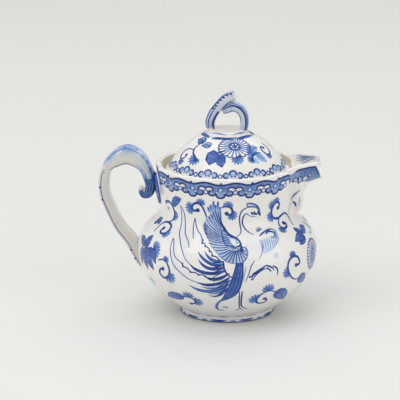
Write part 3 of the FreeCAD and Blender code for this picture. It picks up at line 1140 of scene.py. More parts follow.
class Brush:
    """Lays blue on a surface in thin ribbons that follow it, just over the white.

    Places are in the surface's own coordinates. Widths and lengths are in millimetres, as is
    fine, the width of one strip of a ribbon. Inks run from 0, bare white, to 1, the darkest
    blue, given once for a stroke or as a few values along it. A higher layer lies on top.
    """

    # Height over the white, height of one layer over another, and length of one step of a ribbon
    lift = 0.05
    layer_step = 0.012
    sample_step = 0.7

    def __init__(self, surface, small=(0.05, 0.05), fine=3.0, outward=1.0):
        self.surface = surface
        self.small = small
        self.fine = fine
        self.mirror_about = None
        self.outward = outward
        self.points = []
        self.normals = []
        self.inks = []
        self.faces = []
        self.count = 0

    def placed(self, line):
        """A line of places, on the other side of the pot if the brush paints there."""
        line = np.array(line, float)
        if self.mirror_about is not None:
            line[:, 0] = 2 * self.mirror_about - line[:, 0]
        return line

    def lie(self, u, v):
        """Points on the surface, how it runs both ways from them, and its outward normals."""
        step_u, step_v = self.small
        point = self.surface.point(u, v)
        along = (self.surface.point(u + step_u, v) - self.surface.point(u - step_u, v)) / (2 * step_u)
        up = (self.surface.point(u, v + step_v) - self.surface.point(u, v - step_v)) / (2 * step_v)
        normal = np.cross(along, up) * self.outward
        normal = normal / np.maximum(np.linalg.norm(normal, axis=-1), 1e-9)[..., None]
        return point, along, up, normal

    def near(self, place, x, y):
        """The place x millimetres along the surface and y millimetres up it from another."""
        _, along, up, _ = self.lie(np.array([place[0]], float), np.array([place[1]], float))
        return (place[0] + x / np.linalg.norm(along), place[1] + y / np.linalg.norm(up))

    def beside(self, start, ahead, distance):
        """The place beside another, square to the way that leads to it from a start."""
        _, along, up, _ = self.lie(np.array([start[0]], float), np.array([start[1]], float))
        x = (ahead[0] - start[0]) * np.linalg.norm(along)
        y = (ahead[1] - start[1]) * np.linalg.norm(up)
        share = distance / max(math.hypot(x, y), 1e-6)
        return self.near(ahead, -y * share, x * share)

    def toward(self, place, angle, distance, squash=1.0):
        """The place at a distance from another, at an angle in degrees from level."""
        way = math.radians(angle)
        return self.near(place, distance * math.cos(way), squash * distance * math.sin(way))

    def add(self, u, v, inks, layer):
        """Add a grid of places, as arrays of rows and columns, as one patch of ribbon."""
        rows, columns = u.shape
        point, _, _, normal = self.lie(u.ravel(), v.ravel())
        self.points.append(point + normal * (self.lift + self.layer_step * layer))
        self.normals.append(normal)
        self.inks.append(np.broadcast_to(inks, u.shape).ravel())
        index = np.arange(rows * columns).reshape(rows, columns) + self.count
        quads = np.stack([index[:-1, :-1], index[1:, :-1], index[1:, 1:], index[:-1, 1:]], -1).reshape(-1, 4)
        self.faces.append(quads)
        self.count += rows * columns

    def stroke(self, path, width, ink, head=0.5, tail=0.15, edge=0.8, layer=3.0, columns=3, oval=0.0):
        """One stroke along a path. An oval one swells from a point and closes again.

        Head and tail are shares of the width at its ends, and edge a share of the ink at its sides.
        """
        line = self.placed(smooth_line(path))
        run = run_lengths(self.surface.point(line[:, 0], line[:, 1]))
        count = max(5, int(run[-1] / self.sample_step) + 2)
        place = np.linspace(0.0, run[-1], count)
        u = np.interp(place, run, line[:, 0])
        v = np.interp(place, run, line[:, 1])
        share = place / run[-1]
        if oval:
            half = 0.5 * width * np.sin(math.pi * np.clip(share, 0.015, 0.985) ** oval) ** 0.75
        else:
            half = 0.5 * width * np.interp(share, [0.0, 0.2, 0.6, 1.0], [head, 1.0, 1.0, tail])
        inks = ink_along(ink, share)
        point, along, up, normal = self.lie(u, v)
        way = np.gradient(point, axis=0)
        side = np.cross(normal, way / np.linalg.norm(way, axis=-1)[:, None])
        aa = (along * along).sum(-1)
        ab = (along * up).sum(-1)
        bb = (up * up).sum(-1)
        sa = (along * side).sum(-1)
        sb = (up * side).sum(-1)
        spread = aa * bb - ab * ab
        step_u = (sa * bb - sb * ab) / spread
        step_v = (sb * aa - sa * ab) / spread
        columns = max(columns, 1 + 2 * math.ceil(0.5 * width / self.fine))
        across = np.linspace(-1.0, 1.0, columns)[None, :]
        reach = half[:, None] * across
        fade = 1.0 - (1.0 - edge) * across**2
        self.add(u[:, None] + step_u[:, None] * reach, v[:, None] + step_v[:, None] * reach,
                 np.clip(inks[:, None] * fade, 0.0, 1.0), layer)

    def between(self, first, second, ink, layer=1.0, columns=6, fade=1.0):
        """A wash between two lines that run the same way. It may fade towards the second."""
        first = smooth_line(first)
        second = smooth_line(second)
        count = 4 + int(run_lengths(self.surface.point(first[:, 0], first[:, 1]))[-1] / self.sample_step)
        share = np.linspace(0.0, 1.0, count)
        lines = []
        for line in (first, second):
            line = self.placed(line)
            own = np.linspace(0.0, 1.0, len(line))
            lines.append(np.stack([np.interp(share, own, line[:, axis]) for axis in (0, 1)], -1))
        mix = np.linspace(0.0, 1.0, columns)[None, :]
        if self.mirror_about is not None:
            lines.reverse()
        u = lines[0][:, :1] * (1 - mix) + lines[1][:, :1] * mix
        v = lines[0][:, 1:] * (1 - mix) + lines[1][:, 1:] * mix
        inks = ink_along(ink, share)
        self.add(u, v, np.clip(inks[:, None] * (1.0 + (fade - 1.0) * mix), 0.0, 1.0), layer)

    def spot(self, place, radius, ink, layer=3.5, edge=0.85, squash=1.0):
        """A round dab, or an oval one that is squashed upwards."""
        rim = self.placed([self.toward(place, turn, radius, squash) for turn in np.linspace(0.0, 360.0, 15)])
        centre = self.placed([place])[0]
        grow = np.array([0.0, 0.55, 1.0])[None, :]
        if self.mirror_about is not None:
            rim = rim[::-1]
        u = centre[0] + (rim[:, :1] - centre[0]) * grow
        v = centre[1] + (rim[:, 1:] - centre[1]) * grow
        self.add(u, v, np.clip(ink * (1.0 - (1.0 - edge) * grow**2), 0.0, 1.0) + 0 * u, layer)

    def ring(self, place, radius, width, ink, layer=3.5, squash=1.0, start=0.0, end=360.0):
        """A line round a place, or part of one."""
        path = [self.toward(place, turn, radius, squash) for turn in np.linspace(start, end, 13)]
        self.stroke(path, width, ink, head=1.0, tail=1.0, layer=layer)

    def build(self, name):
        """The painted strokes as one object, shaded like the surface under them."""
        if not self.points:
            raise ValueError("Nothing was painted on " + name)
        points = np.concatenate(self.points)
        normals = np.concatenate(self.normals)
        faces = np.concatenate(self.faces)
        corners = points[faces]
        facing = np.cross(corners[:, 1] - corners[:, 0], corners[:, 3] - corners[:, 0])
        facing = facing + np.cross(corners[:, 3] - corners[:, 2], corners[:, 1] - corners[:, 2])
        wrong = (facing * normals[faces[:, 0]]).sum(-1) < 0
        faces[wrong] = faces[wrong][:, ::-1]
        mesh = bpy.data.meshes.new(name)
        mesh.from_pydata((points * MM).tolist(), [], faces.tolist())
        mesh.polygons.foreach_set("use_smooth", np.ones(len(mesh.polygons), bool))
        piece = bpy.data.objects.new(name, mesh)
        bpy.context.scene.collection.objects.link(piece)
        set_values(piece, "ink", np.concatenate(self.inks))
        mesh.normals_split_custom_set_from_vertices(normals.tolist())
        mesh.update()
        return piece


def on_line(path, share):
    """The place at a share of a smooth line of places."""
    return tuple((weights(share * (len(path) - 1), len(path)) @ np.array(path, float))[0])


def fan(brush, place, angle, size, blades=7, spread=150.0, ink=0.62):
    """A fringed tuft: broad blades of wash that open from one dark root, each with a dark vein."""
    for blade in range(blades):
        share = blade / (blades - 1) - 0.5
        reach = size * (1.0 - 0.7 * share * share)
        way = angle + share * spread
        tip = brush.toward(place, way, reach)
        middle = brush.toward(place, way + 6.0, 0.55 * reach)
        wash = (0.95, ink, 0.7 * ink)
        brush.stroke([place, middle, tip], 0.36 * size, wash, oval=1.6, layer=1.0 + 0.1 * blade)
        inner = brush.toward(place, way + 4.0, 0.3 * reach)
        end = brush.toward(place, way, 1.04 * reach)
        brush.stroke([inner, end], 0.6, (0.75, 0.97), head=0.4, tail=1.0)


def vine(brush, path, width=1.8, ball=1.6):
    """A scrolling line that starts from a round ball and thins out."""
    brush.stroke(path, width, (1.0, 0.96, 0.9), head=1.0, tail=0.5, layer=4.0)
    brush.spot(path[0], ball, 0.98, layer=4.2)


def leaf(brush, spine, width, notches=5, ink=0.56):
    """A notched leaf: wash, a dark rib, and on each side slanting veins and a wavy outline."""
    brush.stroke(spine, width, (1.4 * ink, ink, 1.15 * ink), oval=0.75, columns=7, edge=1.2, layer=1.0)
    brush.stroke(spine, 1.1, (1.0, 0.9), head=1.0, tail=0.3)
    for side in (-1.0, 1.0):
        border = [spine[0]]
        for step in range(2 * notches):
            share = (step + 0.7) / (2 * notches)
            here = on_line(spine, share)
            before = on_line(spine, share - 0.03)
            reach = 0.5 * width * math.sin(math.pi * share**0.75) ** 0.75
            border.append(brush.beside(before, here, side * reach * (1.08 if step % 2 else 0.9)))
            if step % 2:
                vein = [on_line(spine, max(share - 0.16, 0.0)), border[-1]]
                brush.stroke(vein, 0.55, (1.75 * ink, 1.4 * ink), head=0.9, tail=0.4, layer=2.5)
        border.append(spine[-1])
        brush.stroke(border, 0.75, (1.0, 0.95), head=1.0, tail=0.6, layer=2.8)


def chrysanthemum(brush, place, radius, petals=24, squash=1.0):
    """A round flower: pale petals with dark outlines round a dark eye with pale dots."""
    brush.spot(place, radius, 0.1, layer=1.0, squash=squash, edge=2.0)
    brush.spot(place, 0.75 * radius, 0.34, layer=1.3, edge=0.4, squash=squash)
    step = 360.0 / petals
    rim = ((0.0, 0.93), (0.2, 1.02), (0.5, 1.06), (0.8, 1.02), (1.0, 0.93))
    for petal in range(petals):
        turn = petal * step
        side = [brush.toward(place, turn, share * radius, squash) for share in (0.42, 0.7, 0.95)]
        brush.stroke(side, 0.8, (0.75, 0.98), head=0.5, tail=1.0)
        tip = [brush.toward(place, turn + part * step, share * radius, squash) for part, share in rim]
        brush.stroke(tip, 1.0, 1.0, head=1.0, tail=1.0)
    brush.spot(place, 0.4 * radius, 0.92, layer=4.0, squash=squash)
    brush.ring(place, 0.37 * radius, 0.09 * radius, 0.97, layer=4.3, squash=squash)
    for dot in range(6):
        brush.spot(brush.toward(place, dot * 60.0, 0.21 * radius, squash), 0.055 * radius, 0.1, layer=4.6)


# The collar under the lip. Its forms are in millimetres from the middle of a lappet or bracket.


COLLAR_REPEATS = 15
COLLAR_MIDDLE = 119.0
COLLAR_TOP = 125.8
COLLAR_WAVE = 1.1
LAPPET_TURN = -0.5
BEAK_HALF_TURN = 22.0
LAPPET_LOBE = [(-7.2, 1.7), (-8.6, 0.9), (-9, -0.3), (-7.8, -1.8), (-5.8, -2.2), (-4, -1.5), (-3.1, -0.3)]
LAPPET_TIP = [(-3, -0.4), (-3.2, -2), (-2, -3.6), (0, -4), (2, -3.6), (3.2, -2), (3, -0.4)]
BRACKET = [
    (-5.2, 1.6), (-5.5, 2.8), (-4.4, 4.3), (-2.4, 4.8), (-0.7, 4.1), (0, 3.4),
    (0.7, 4.1), (2.4, 4.8), (4.4, 4.3), (5.4, 2.8), (5.2, 1.6),
]


def clear_of_beak(turn, room):
    """Whether a turn lies outside the beak by some degrees."""
    return abs((turn - 90.0 + 180.0) % 360.0 - 180.0) > BEAK_HALF_TURN + room


def collar_top(turn):
    """Rise of the dark line under the lip, which dips over each lappet."""
    return COLLAR_TOP - COLLAR_WAVE * math.cos(math.radians((turn - LAPPET_TURN) * COLLAR_REPEATS))


def outline(brush, middle, spots, width, layer):
    """A heavy, even line through spots that are given in millimetres from a place."""
    path = [brush.near(middle, *spot) for spot in spots]
    brush.stroke(path, width, 1.0, head=0.9, tail=0.9, edge=1.0, layer=layer)


def paint_lappet(brush, turn):
    """Three hanging lobes of wash with dark lower edges and a small ring above them."""
    middle = (turn, COLLAR_MIDDLE)
    for side in (-1.0, 1.0):
        brush.spot(brush.near(middle, 6.0 * side, -0.1), 2.5, 0.46, layer=2.7, edge=1.3)
        outline(brush, middle, [(-side * x, y) for x, y in LAPPET_LOBE], 1.35, 3.4)
        brush.spot(brush.near(middle, 8.9 * side, -0.2), 0.8, 1.0, layer=3.5)
    brush.spot(brush.near(middle, 0.0, -1.6), 2.8, 0.34, layer=2.8, edge=1.4)
    outline(brush, middle, LAPPET_TIP, 1.35, 3.4)
    eye = brush.near(middle, 0.0, 2.0)
    brush.spot(eye, 1.3, 0.2, layer=3.0)
    brush.ring(eye, 1.6, 0.7, 0.95, layer=3.2)


def paint_bracket(brush, turn):
    """The white double arch between two lappets, with a ring under it."""
    middle = (turn, COLLAR_MIDDLE)
    for x, y, radius in ((-2.6, 2.2, 2.5), (2.6, 2.2, 2.5), (-2.4, 0.4, 2.8), (2.4, 0.4, 2.8)):
        brush.spot(brush.near(middle, x, y), radius, 0.02, layer=2.4, edge=1.0)
    outline(brush, middle, BRACKET, 1.3, 3.2)
    brush.spot(brush.near(middle, 0.0, 0.5), 1.4, 0.08, layer=3.0)
    brush.ring(brush.near(middle, 0.0, 0.5), 1.6, 0.8, 0.93, layer=3.7)


def paint_collar(brush, lobes):
    """A band of blue under the lip, hung with lappets and lightened by brackets between them."""
    turns = np.linspace(90.0 + BEAK_HALF_TURN, 450.0 - BEAK_HALF_TURN, 141)
    high = [(turn, collar_top(turn)) for turn in turns]
    brush.between([(turn, COLLAR_MIDDLE + 0.4) for turn in turns], high, 0.52, columns=4)
    brush.stroke(high, 1.5, 1.0, head=1.0, tail=1.0, edge=1.0)
    for lobe in range(lobes):
        turn = 360.0 * lobe / lobes
        if clear_of_beak(turn, 2.0):
            top = collar_top(turn)
            brush.stroke([(turn - 1.6, top), (turn, top + 1.5), (turn + 1.6, top)], 1.0, 1.0)
    step = 360.0 / COLLAR_REPEATS
    for repeat in range(COLLAR_REPEATS):
        turn = LAPPET_TURN + repeat * step
        if clear_of_beak(turn, 7.0):
            paint_lappet(brush, turn)
        if clear_of_beak(turn + step / 2, 4.0):
            paint_bracket(brush, turn + step / 2)


# The long-tailed bird, in degrees of turn and millimetres of rise on the pot's wall


# The left and the right edge of each
STREAMERS = [
    (
        [(-36.5, 79.5), (-36, 76), (-34.8, 70), (-31, 60.5), (-26, 55.5), (-20, 51), (-14, 48.8)],
        [(-36.5, 79.5), (-34.8, 77.5), (-33.2, 74), (-31, 67.5), (-28.5, 64.8), (-25, 62.6), (-23.7, 60.2)],
    ),
    (
        [(-38.3, 105.5), (-37, 97), (-34.5, 86), (-30, 79), (-26.5, 73), (-22.5, 66), (-20, 63.4)],
        [(-38.3, 105.5), (-35, 101.5), (-32.2, 93), (-29, 85.8), (-25.5, 81.7), (-22.6, 78), (-21.3, 74.5)],
    ),
    (
        [(-23.3, 98), (-24, 93), (-22.4, 87), (-20.3, 82)],
        [(-23.3, 98), (-21.6, 93), (-18.6, 88.6), (-15.6, 86), (-14, 83.2), (-12.6, 79.2)],
    ),
]
SERRATIONS = [
    [(-25, 62.6), (-23.7, 60.2), (-18.4, 56.6), (-13, 55.2), (-8.6, 54.4)],
    [(-14, 83.2), (-12.6, 79.2), (-10, 76.8), (-6.5, 73.2), (-4.6, 70), (0, 67)],
]
# A path, a width and an ink
TAIL_FEATHERS = [
    ([(4, 60), (-1, 57.8), (-6, 57), (-11, 57.8), (-16, 60), (-20, 63.6)], 2.3, 0.97),
    ([(6.5, 57.5), (2, 54.2), (-2, 52.8), (-6, 53), (-9, 54.8)], 2.6, 0.97),
    ([(7, 55), (2, 50.6), (-3, 48.3), (-9, 47.7), (-15.5, 49.2)], 2.4, 0.97),
    ([(3.5, 62), (-2, 60.6), (-7, 61), (-11, 63.6), (-13.6, 66.8)], 2.1, 0.92),
    ([(3, 64), (-3, 63.6), (-8, 65.8), (-12, 69.4), (-14.2, 72.4)], 2.2, 0.74),
    ([(3, 66), (-3, 66.6), (-7, 69), (-10, 73)], 2.0, 0.66),
    ([(7, 52), (3, 46.6), (-3, 42.7), (-9, 41.7), (-15, 42.9), (-20.4, 45.8)], 2.9, 0.66),
    ([(6.6, 53.4), (0, 46.6), (-6, 44.8), (-12, 45.6)], 1.7, 0.5),
    ([(6, 48.5), (2, 43.2), (-3, 40), (-8, 39.4)], 1.6, 0.46),
    ([(5.6, 45), (2, 40), (-3, 36.9), (-7.6, 37.4)], 1.6, 0.86),
]


def feathers(brush, roots, tips, count, width, ink, sag=0.0, layer=3.0):
    """Lines that open from one edge of a wing to another."""
    for share in np.linspace(0.0, 1.0, count):
        root = on_line(roots, share)
        tip = on_line(tips, share)
        middle = ((root[0] + tip[0] - sag) / 2, (root[1] + tip[1] - sag) / 2)
        brush.stroke([root, middle, tip], width, ink, head=0.6, tail=0.9, layer=layer)


def paint_tail(brush):
    """Outlined streamers, notched edges and the dark and pale crescents under them."""
    for left, right in STREAMERS:
        brush.between(left, right, (0.07, 0.03), layer=0.5)
        for side in (left, right):
            brush.stroke(side, 0.8, (0.95, 0.82), head=0.8, tail=0.8)
    for edge in SERRATIONS:
        for start, end in zip(edge, edge[1:]):
            sag = ((start[0] + end[0]) / 2 + 0.5, (start[1] + end[1]) / 2 + 0.7)
            brush.stroke([start, sag, end], 0.9, 1.0, head=0.9, tail=1.0)
            brush.spot(end, 0.85, 1.0)
    for path, width, ink in TAIL_FEATHERS:
        brush.stroke(path, width, (ink, 0.95 * ink, ink), oval=0.85, columns=5, edge=1.15, layer=2.0)
        lower = [brush.near(place, 0.0, -0.42 * width) for place in path[1:-1]]
        brush.stroke([path[0], *lower, path[-1]], 0.85, 1.0, head=0.8, tail=0.4)
    roots = [(3, 65), (4, 60), (7, 54), (7, 47)]
    tips = [(-4, 65), (-4, 55.2), (-3, 46.4), (-1, 38.6)]
    feathers(brush, roots, tips, 9, 0.75, 1.0)
    brush.stroke([(2.6, 66.5), (3.2, 61), (5, 57), (8.6, 53.6)], 1.4, 0.97, head=0.5, tail=0.5)


WING_ROOTS = [
    (1, 94), (0.5, 90.5), (0, 87.5), (0.5, 84.5), (2.5, 80.5), (6, 76), (9.5, 74.2), (12, 74.8),
    (14, 76.5), (14.8, 78),
]
WING_TIPS = [
    (-0.5, 105), (-5.5, 104.8), (-10.5, 101), (-14.8, 95.5), (-14.5, 91), (-11.5, 86), (-7, 79.5), (-2, 73),
    (3, 67.5), (8.5, 65), (14, 65), (17.5, 69), (17, 76),
]
WING_EDGE = [(0.2, 96), (2.6, 91.8), (5.5, 88), (8.5, 85.8), (11.5, 84.2), (13.6, 81.8), (14.6, 79)]
WING_FOLD = [(1, 91), (0.8, 87), (1.5, 84.5), (2.5, 81.5), (4, 78.5), (6, 76.5), (8.5, 75)]
FOLD_TIPS = [(4.2, 88.4), (6, 85.4), (7, 82.5), (7.5, 80.5), (9.5, 78), (11, 76.8), (12.5, 76)]
CREST_TUFTS = [
    ((-9.5, 103), (-11.5, 107.5)), ((-8.3, 103), (-9.2, 109.5)), ((-6.8, 104), (-6.4, 112.5)),
    ((-5, 104), (-5, 109.5)), ((-3.2, 104), (-2.6, 112.3)), ((-1.4, 104), (-1.2, 108)),
]


def paint_wing(brush):
    """The raised wing: a fan of long feathers round a dark fold, and a heavy leading edge."""
    brush.between(WING_ROOTS, WING_TIPS, (0.36, 0.27, 0.2, 0.24, 0.32, 0.24, 0.18), layer=0.6, columns=10)
    feathers(brush, WING_ROOTS, WING_TIPS, 29, 0.82, 1.0, sag=1.2)
    for share in np.linspace(0.08, 0.44, 12):
        tip = on_line(WING_TIPS, share)
        root = on_line(WING_ROOTS, share)
        inner = (tip[0] + 0.26 * (root[0] - tip[0]), tip[1] + 0.26 * (root[1] - tip[1]))
        brush.stroke([inner, tip], 1.1, (0.55, 0.92), head=0.2, tail=0.9, layer=2.0)
    for share in np.linspace(0.5, 0.98, 17):
        scallop = [on_line(WING_TIPS, share + part) for part in (-0.014, 0.0, 0.014)]
        scallop[1] = brush.beside(scallop[0], scallop[1], -0.5)
        brush.stroke(scallop, 0.5, 0.88, head=1.0, tail=1.0)
    for root, tip in CREST_TUFTS:
        brush.stroke([root, tip], 2.0, (0.3, 0.55, 0.95), head=0.5, tail=0.6, layer=1.8)
    brush.between(WING_FOLD, FOLD_TIPS, 0.36, layer=1.2)
    feathers(brush, WING_FOLD, FOLD_TIPS, 10, 0.75, (0.98, 0.9), layer=3.2)
    shoulder = [(4.6, 87), (7.6, 84.6), (10.4, 82.6), (12.6, 79)]
    brush.stroke(shoulder, 4.0, 0.34, oval=0.9, columns=5, layer=2.2)
    brush.stroke([(7, 83.6), (9.4, 81.8), (11, 79)], 2.6, 0.08, oval=0.9, columns=5, layer=2.6)
    brush.stroke(WING_FOLD[:-1], 1.2, (0.95, 1.0, 0.97), head=0.6, tail=0.5, layer=3.8)
    brush.stroke(WING_EDGE, 2.0, (0.98, 1.0, 1.0, 0.97), head=0.4, tail=0.7, layer=4.0, columns=5)
    brush.stroke([(14.6, 79.4), (13.6, 77.4), (11, 77.2)], 1.6, 0.98, head=0.8, tail=0.3, layer=4.0)


PLUME_LEFT = [(11, 65), (8.6, 55), (6, 46), (2.6, 36.5), (-0.6, 30)]
PLUME_RIGHT = [(15, 65), (14.8, 55), (13.4, 45), (10.6, 38), (5.6, 33.4)]
# A path, a width and an ink
BIRD_LINES = [
    ([(21.2, 109.2), (22.4, 110.4), (26.6, 109.8), (30.6, 107.8), (33, 105), (33.4, 102.6)], 1.0, 0.97),
    ([(21.2, 109.2), (23.2, 107.6), (26.8, 107.4), (30, 106.6), (32.4, 104.4)], 0.9, 0.94),
    ([(25.4, 103.4), (27, 101.8), (28.4, 102.4), (30.2, 101.4), (32.8, 102.6)], 1.4, 1.0),
    ([(31.6, 103.6), (33.2, 101.8), (33.8, 99.6)], 1.7, 1.0),
    ([(21.6, 102.4), (23.8, 100.8), (27.2, 99.8), (31.2, 99.8)], 0.6, 0.62),
    (
        [(23, 107.4), (19.4, 106.2), (17, 104.2), (15.4, 100), (15.6, 95), (16.2, 90.5), (15, 87.5),
         (12, 85)],
        0.9, 0.92,
    ),
    (
        [(22.8, 101.6), (21.6, 102.5), (19.8, 101.8), (18.2, 99), (17.8, 95.6), (19.4, 91.6), (22.4, 88.4),
         (26, 86)],
        0.9, 0.92,
    ),
    ([(28.8, 81), (29.4, 77.5), (28.8, 73), (27.6, 70), (25.6, 66.5)], 0.7, 0.56),
    ([(17.6, 77), (18.6, 72.5), (17.6, 68.5), (15.8, 66)], 0.6, 0.7),
    ([(0.4, 32), (-1.6, 28.6), (-3.2, 24), (-3.2, 20), (-1, 17.4), (2.6, 17.8)], 1.9, 0.66),
    ([(4.6, 22.4), (2.4, 23.4), (1.4, 21.6)], 1.0, 0.62),
    ([(13.2, 42), (13.8, 32), (14.6, 25), (15.8, 20.6), (19.4, 16.4)], 0.9, 0.92),
    ([(15, 42), (15.3, 32), (16, 26), (17.2, 22.8), (20, 20), (23.4, 17.4)], 1.1, 0.92),
    ([(15.8, 20.6), (14, 17.6), (12.4, 16.6)], 0.9, 0.7),
    ([(22.6, 66), (20.2, 62), (18.6, 56.4), (16.6, 50)], 0.75, 0.78),
    ([(17, 62), (16, 57), (15.2, 51)], 0.6, 0.5),
    ([(20.4, 53.4), (21.6, 55.8), (25, 58.2), (30.2, 61.6)], 1.6, 0.98),
    ([(21, 51.8), (24, 56), (28.6, 59), (32, 58.6)], 0.9, 0.94),
    ([(30, 61.6), (33, 60.2), (35.2, 58.2), (35.4, 56.8)], 1.1, 0.95),
    ([(30.6, 59.8), (33, 57.4), (33.4, 56)], 1.0, 0.92),
    ([(34.6, 60.6), (37.4, 58.6), (38.4, 55.6), (38.2, 52.8)], 1.1, 0.92),
    ([(29.8, 84.4), (34.4, 87), (39.8, 88.6), (43.6, 88.2), (45.6, 85.6)], 1.2, 0.82),
    ([(35.6, 85.4), (38.4, 87), (42, 86.4), (43.4, 84), (41, 81.6), (38.6, 82.4)], 1.3, 0.84),
    ([(44.4, 87), (44.2, 84), (42, 80.8)], 2.8, 0.4),
    ([(45.6, 85), (45.2, 81), (43.4, 78.4), (39.4, 75), (34.6, 72), (29.2, 70.2)], 0.5, 0.34),
]
# A place, a radius and an ink
BIRD_SPOTS = [
    ((28.2, 103.4), 0.6, 1.0),
    ((19.4, 54), 0.9, 0.98),
    ((20.9, 51.9), 0.9, 0.98),
    ((4.6, 22), 1.3, 0.62),
    ((38, 67.6), 2.4, 0.22),
]
PLUME_INKS = (1.0, 0.95, 0.7, 1.0, 0.9, 0.66, 1.0, 0.9, 0.7, 0.98, 1.0)


def paint_body(brush):
    """Head, neck, chest, thigh plume, legs and the tuft of curled feathers before the chest."""
    crown = [(22, 109), (27, 108.6), (31, 106.6), (33, 103)]
    brush.stroke(crown, 2.2, (0.2, 0.4, 0.6), head=0.8, tail=0.6, layer=1.0)
    brush.between([(19, 88), (18.6, 76), (17, 66)], [(26.6, 85), (28.6, 76), (25.6, 66.6)], 0.03, layer=0.5)
    brush.between(PLUME_LEFT, PLUME_RIGHT, (0.9, 0.84, 0.82, 0.76), layer=1.6, columns=9)
    for share, ink in zip(np.linspace(0.0, 1.0, len(PLUME_INKS)), PLUME_INKS):
        line = [
            (left[0] + share * (right[0] - left[0]), left[1] + share * (right[1] - left[1]))
            for left, right in zip(PLUME_LEFT, PLUME_RIGHT)
        ]
        brush.stroke(line, 0.85, ink, head=0.9, tail=0.4)
    for path, width, ink in BIRD_LINES:
        brush.stroke(path, 1.15 * width, (ink, 1.06 * ink, 0.95 * ink), head=0.7, tail=0.5)
    for place, radius, ink in BIRD_SPOTS:
        brush.spot(place, radius, ink, layer=4.0, edge=0.7)
    fan(brush, (31.6, 88.6), 110.0, 3.2, blades=5, ink=0.4)
    near_chest = [(28.8, 80.4), (29.2, 76.6), (28.8, 71)]
    off_chest = [(44.4, 83), (42.6, 78.4), (34.6, 72)]
    brush.between(near_chest, off_chest, 0.15, layer=0.5)
    roots = [(31, 82), (36, 83), (41, 82.6), (44.6, 83.4)]
    tips = [(29.6, 71), (34.6, 72.2), (39.4, 75.2), (43.6, 79)]
    feathers(brush, roots, tips, 9, 0.55, (0.36, 0.6, 0.5))


# Scrolls and leaves round the bird: a vine's places, then tufts as turn, rise, angle and size


SCROLLS = [
    (
        [(53.5, 103), (55, 105), (53, 107.5), (49, 107), (46, 103), (46, 99), (48.5, 96), (53, 95.2),
         (58, 96.5), (62, 97.3), (66, 96), (68.6, 92), (68.4, 86)],
        [(47.2, 106, 165, 4.6), (50.5, 107.6, 80, 4.2), (46.6, 98, 190, 5.2)],
    ),
    (
        [(58, 90.5), (60.3, 90), (59.5, 87.5), (56, 86.5), (53, 88), (52.3, 91), (54, 95)],
        [(53.4, 87.2, 245, 4.6)],
    ),
    (
        [(54, 57), (56.5, 57), (57.5, 59), (55.5, 63), (51, 64), (47.5, 61.5), (46.5, 57), (48, 52),
         (51.5, 47.5), (56, 45), (60, 45)],
        [(51.4, 64, 80, 4.4), (47.4, 53.4, 200, 5.6)],
    ),
    (
        [(33.5, 31), (36, 29), (35, 26), (31, 25.5), (28, 27.5), (27, 31), (28.5, 36), (32, 39), (36, 39.5),
         (40, 37.5)],
        [(33.4, 40, 90, 6.4), (27.2, 31.6, 165, 7.0)],
    ),
    (
        [(-39.5, 55), (-42, 54), (-43, 51), (-41, 48.2), (-38, 47.8), (-35.5, 50), (-34, 53.5), (-34.5, 57),
         (-36.5, 60.5), (-40, 61.8), (-44, 60.5)],
        [(-35.2, 51, -65, 7.0), (-37.4, 61.6, 70, 3.6)],
    ),
    (
        [(-52, 84.5), (-53, 82), (-51, 80.2), (-47.5, 80.8), (-45, 84), (-45.5, 88), (-50, 90), (-55, 89.5),
         (-58.5, 87), (-59.5, 83), (-60, 79)],
        [(-46.6, 82, -35, 5.0)],
    ),
    (
        [(-60, 104), (-56, 105.5), (-51, 104.5), (-47.5, 101), (-46, 97), (-47.5, 92.5), (-51, 90.5)],
        [(-46.4, 96.4, -5, 4.6)],
    ),
    (
        [(-20.5, 104.3), (-24, 103.5), (-26, 105.5), (-24.5, 108.5), (-20, 109.8), (-16.5, 107.5),
         (-14, 103), (-12.5, 99)],
        [(-26, 105.4, 185, 6.0), (-18, 109.2, 75, 4.6)],
    ),
    (
        [(4.5, 103), (7, 101.8), (9.5, 104), (8, 107.5), (4, 108.5), (0, 107.5)],
        [(5.6, 108, 85, 4.8), (8.2, 102.6, -50, 5.0)],
    ),
    (
        [(-25, 23.5), (-21, 25), (-19.5, 28), (-20.5, 31), (-24, 32.5), (-28, 31.5)],
        [(-23.4, 32.6, 95, 6.0), (-20.2, 28, -15, 7.0)],
    ),
]
# A spine and a width
LEAVES = [
    ([(59, 45.6), (65, 43), (72, 37.6)], 8.0),
    ([(40, 37.4), (48, 32.4), (58, 23)], 10.0),
    ([(-28, 32), (-38, 30), (-48, 25.4)], 8.6),
    ([(-49, 103.6), (-43, 108.6), (-37, 110.8)], 6.0),
    ([(-62, 65), (-59.6, 70.6), (-57, 76)], 7.4),
    ([(-60, 64), (-55.6, 59.6), (-49, 51.4)], 8.4),
    ([(-62, 64), (-60.4, 57), (-56.4, 49.8)], 7.4),
    ([(-64, 64), (-66.4, 58), (-66, 50.6)], 7.0),
    ([(-63, 66), (-68, 69), (-74, 70.4)], 6.0),
    ([(-56, 65.6), (-50, 63), (-46.6, 57)], 6.4),
    ([(-70, 84), (-65, 88.6), (-62, 85)], 5.0),
    ([(71, 76), (65, 76), (57.6, 74)], 6.4),
    ([(71, 77), (67.6, 80.6), (65, 84)], 5.6),
    ([(71, 75), (66, 72.6), (61, 70.8)], 5.0),
    ([(72, 77), (77, 80.6), (82, 81)], 5.6),
]
SIDE_FLOWER = (77.0, 59.0)
# A path, a width and an ink
SOFT_STROKES = [
    ([(-58.6, 43), (-57.8, 39), (-56, 34.4)], 5.4, 0.26),
    ([(-60.6, 42), (-61, 38.6), (-59.4, 35.6)], 3.4, 0.3),
    ([(74, 34.4), (77, 28), (74, 22)], 4.4, 0.28),
    ([(66, 9.6), (68.6, 14.8)], 2.6, 0.42),
    ([(78, 103), (73, 99.4), (70.4, 92)], 1.2, 0.46),
    ([(83, 84), (87.6, 81), (88, 76), (84.6, 73), (80, 75.4)], 1.4, 0.5),
]


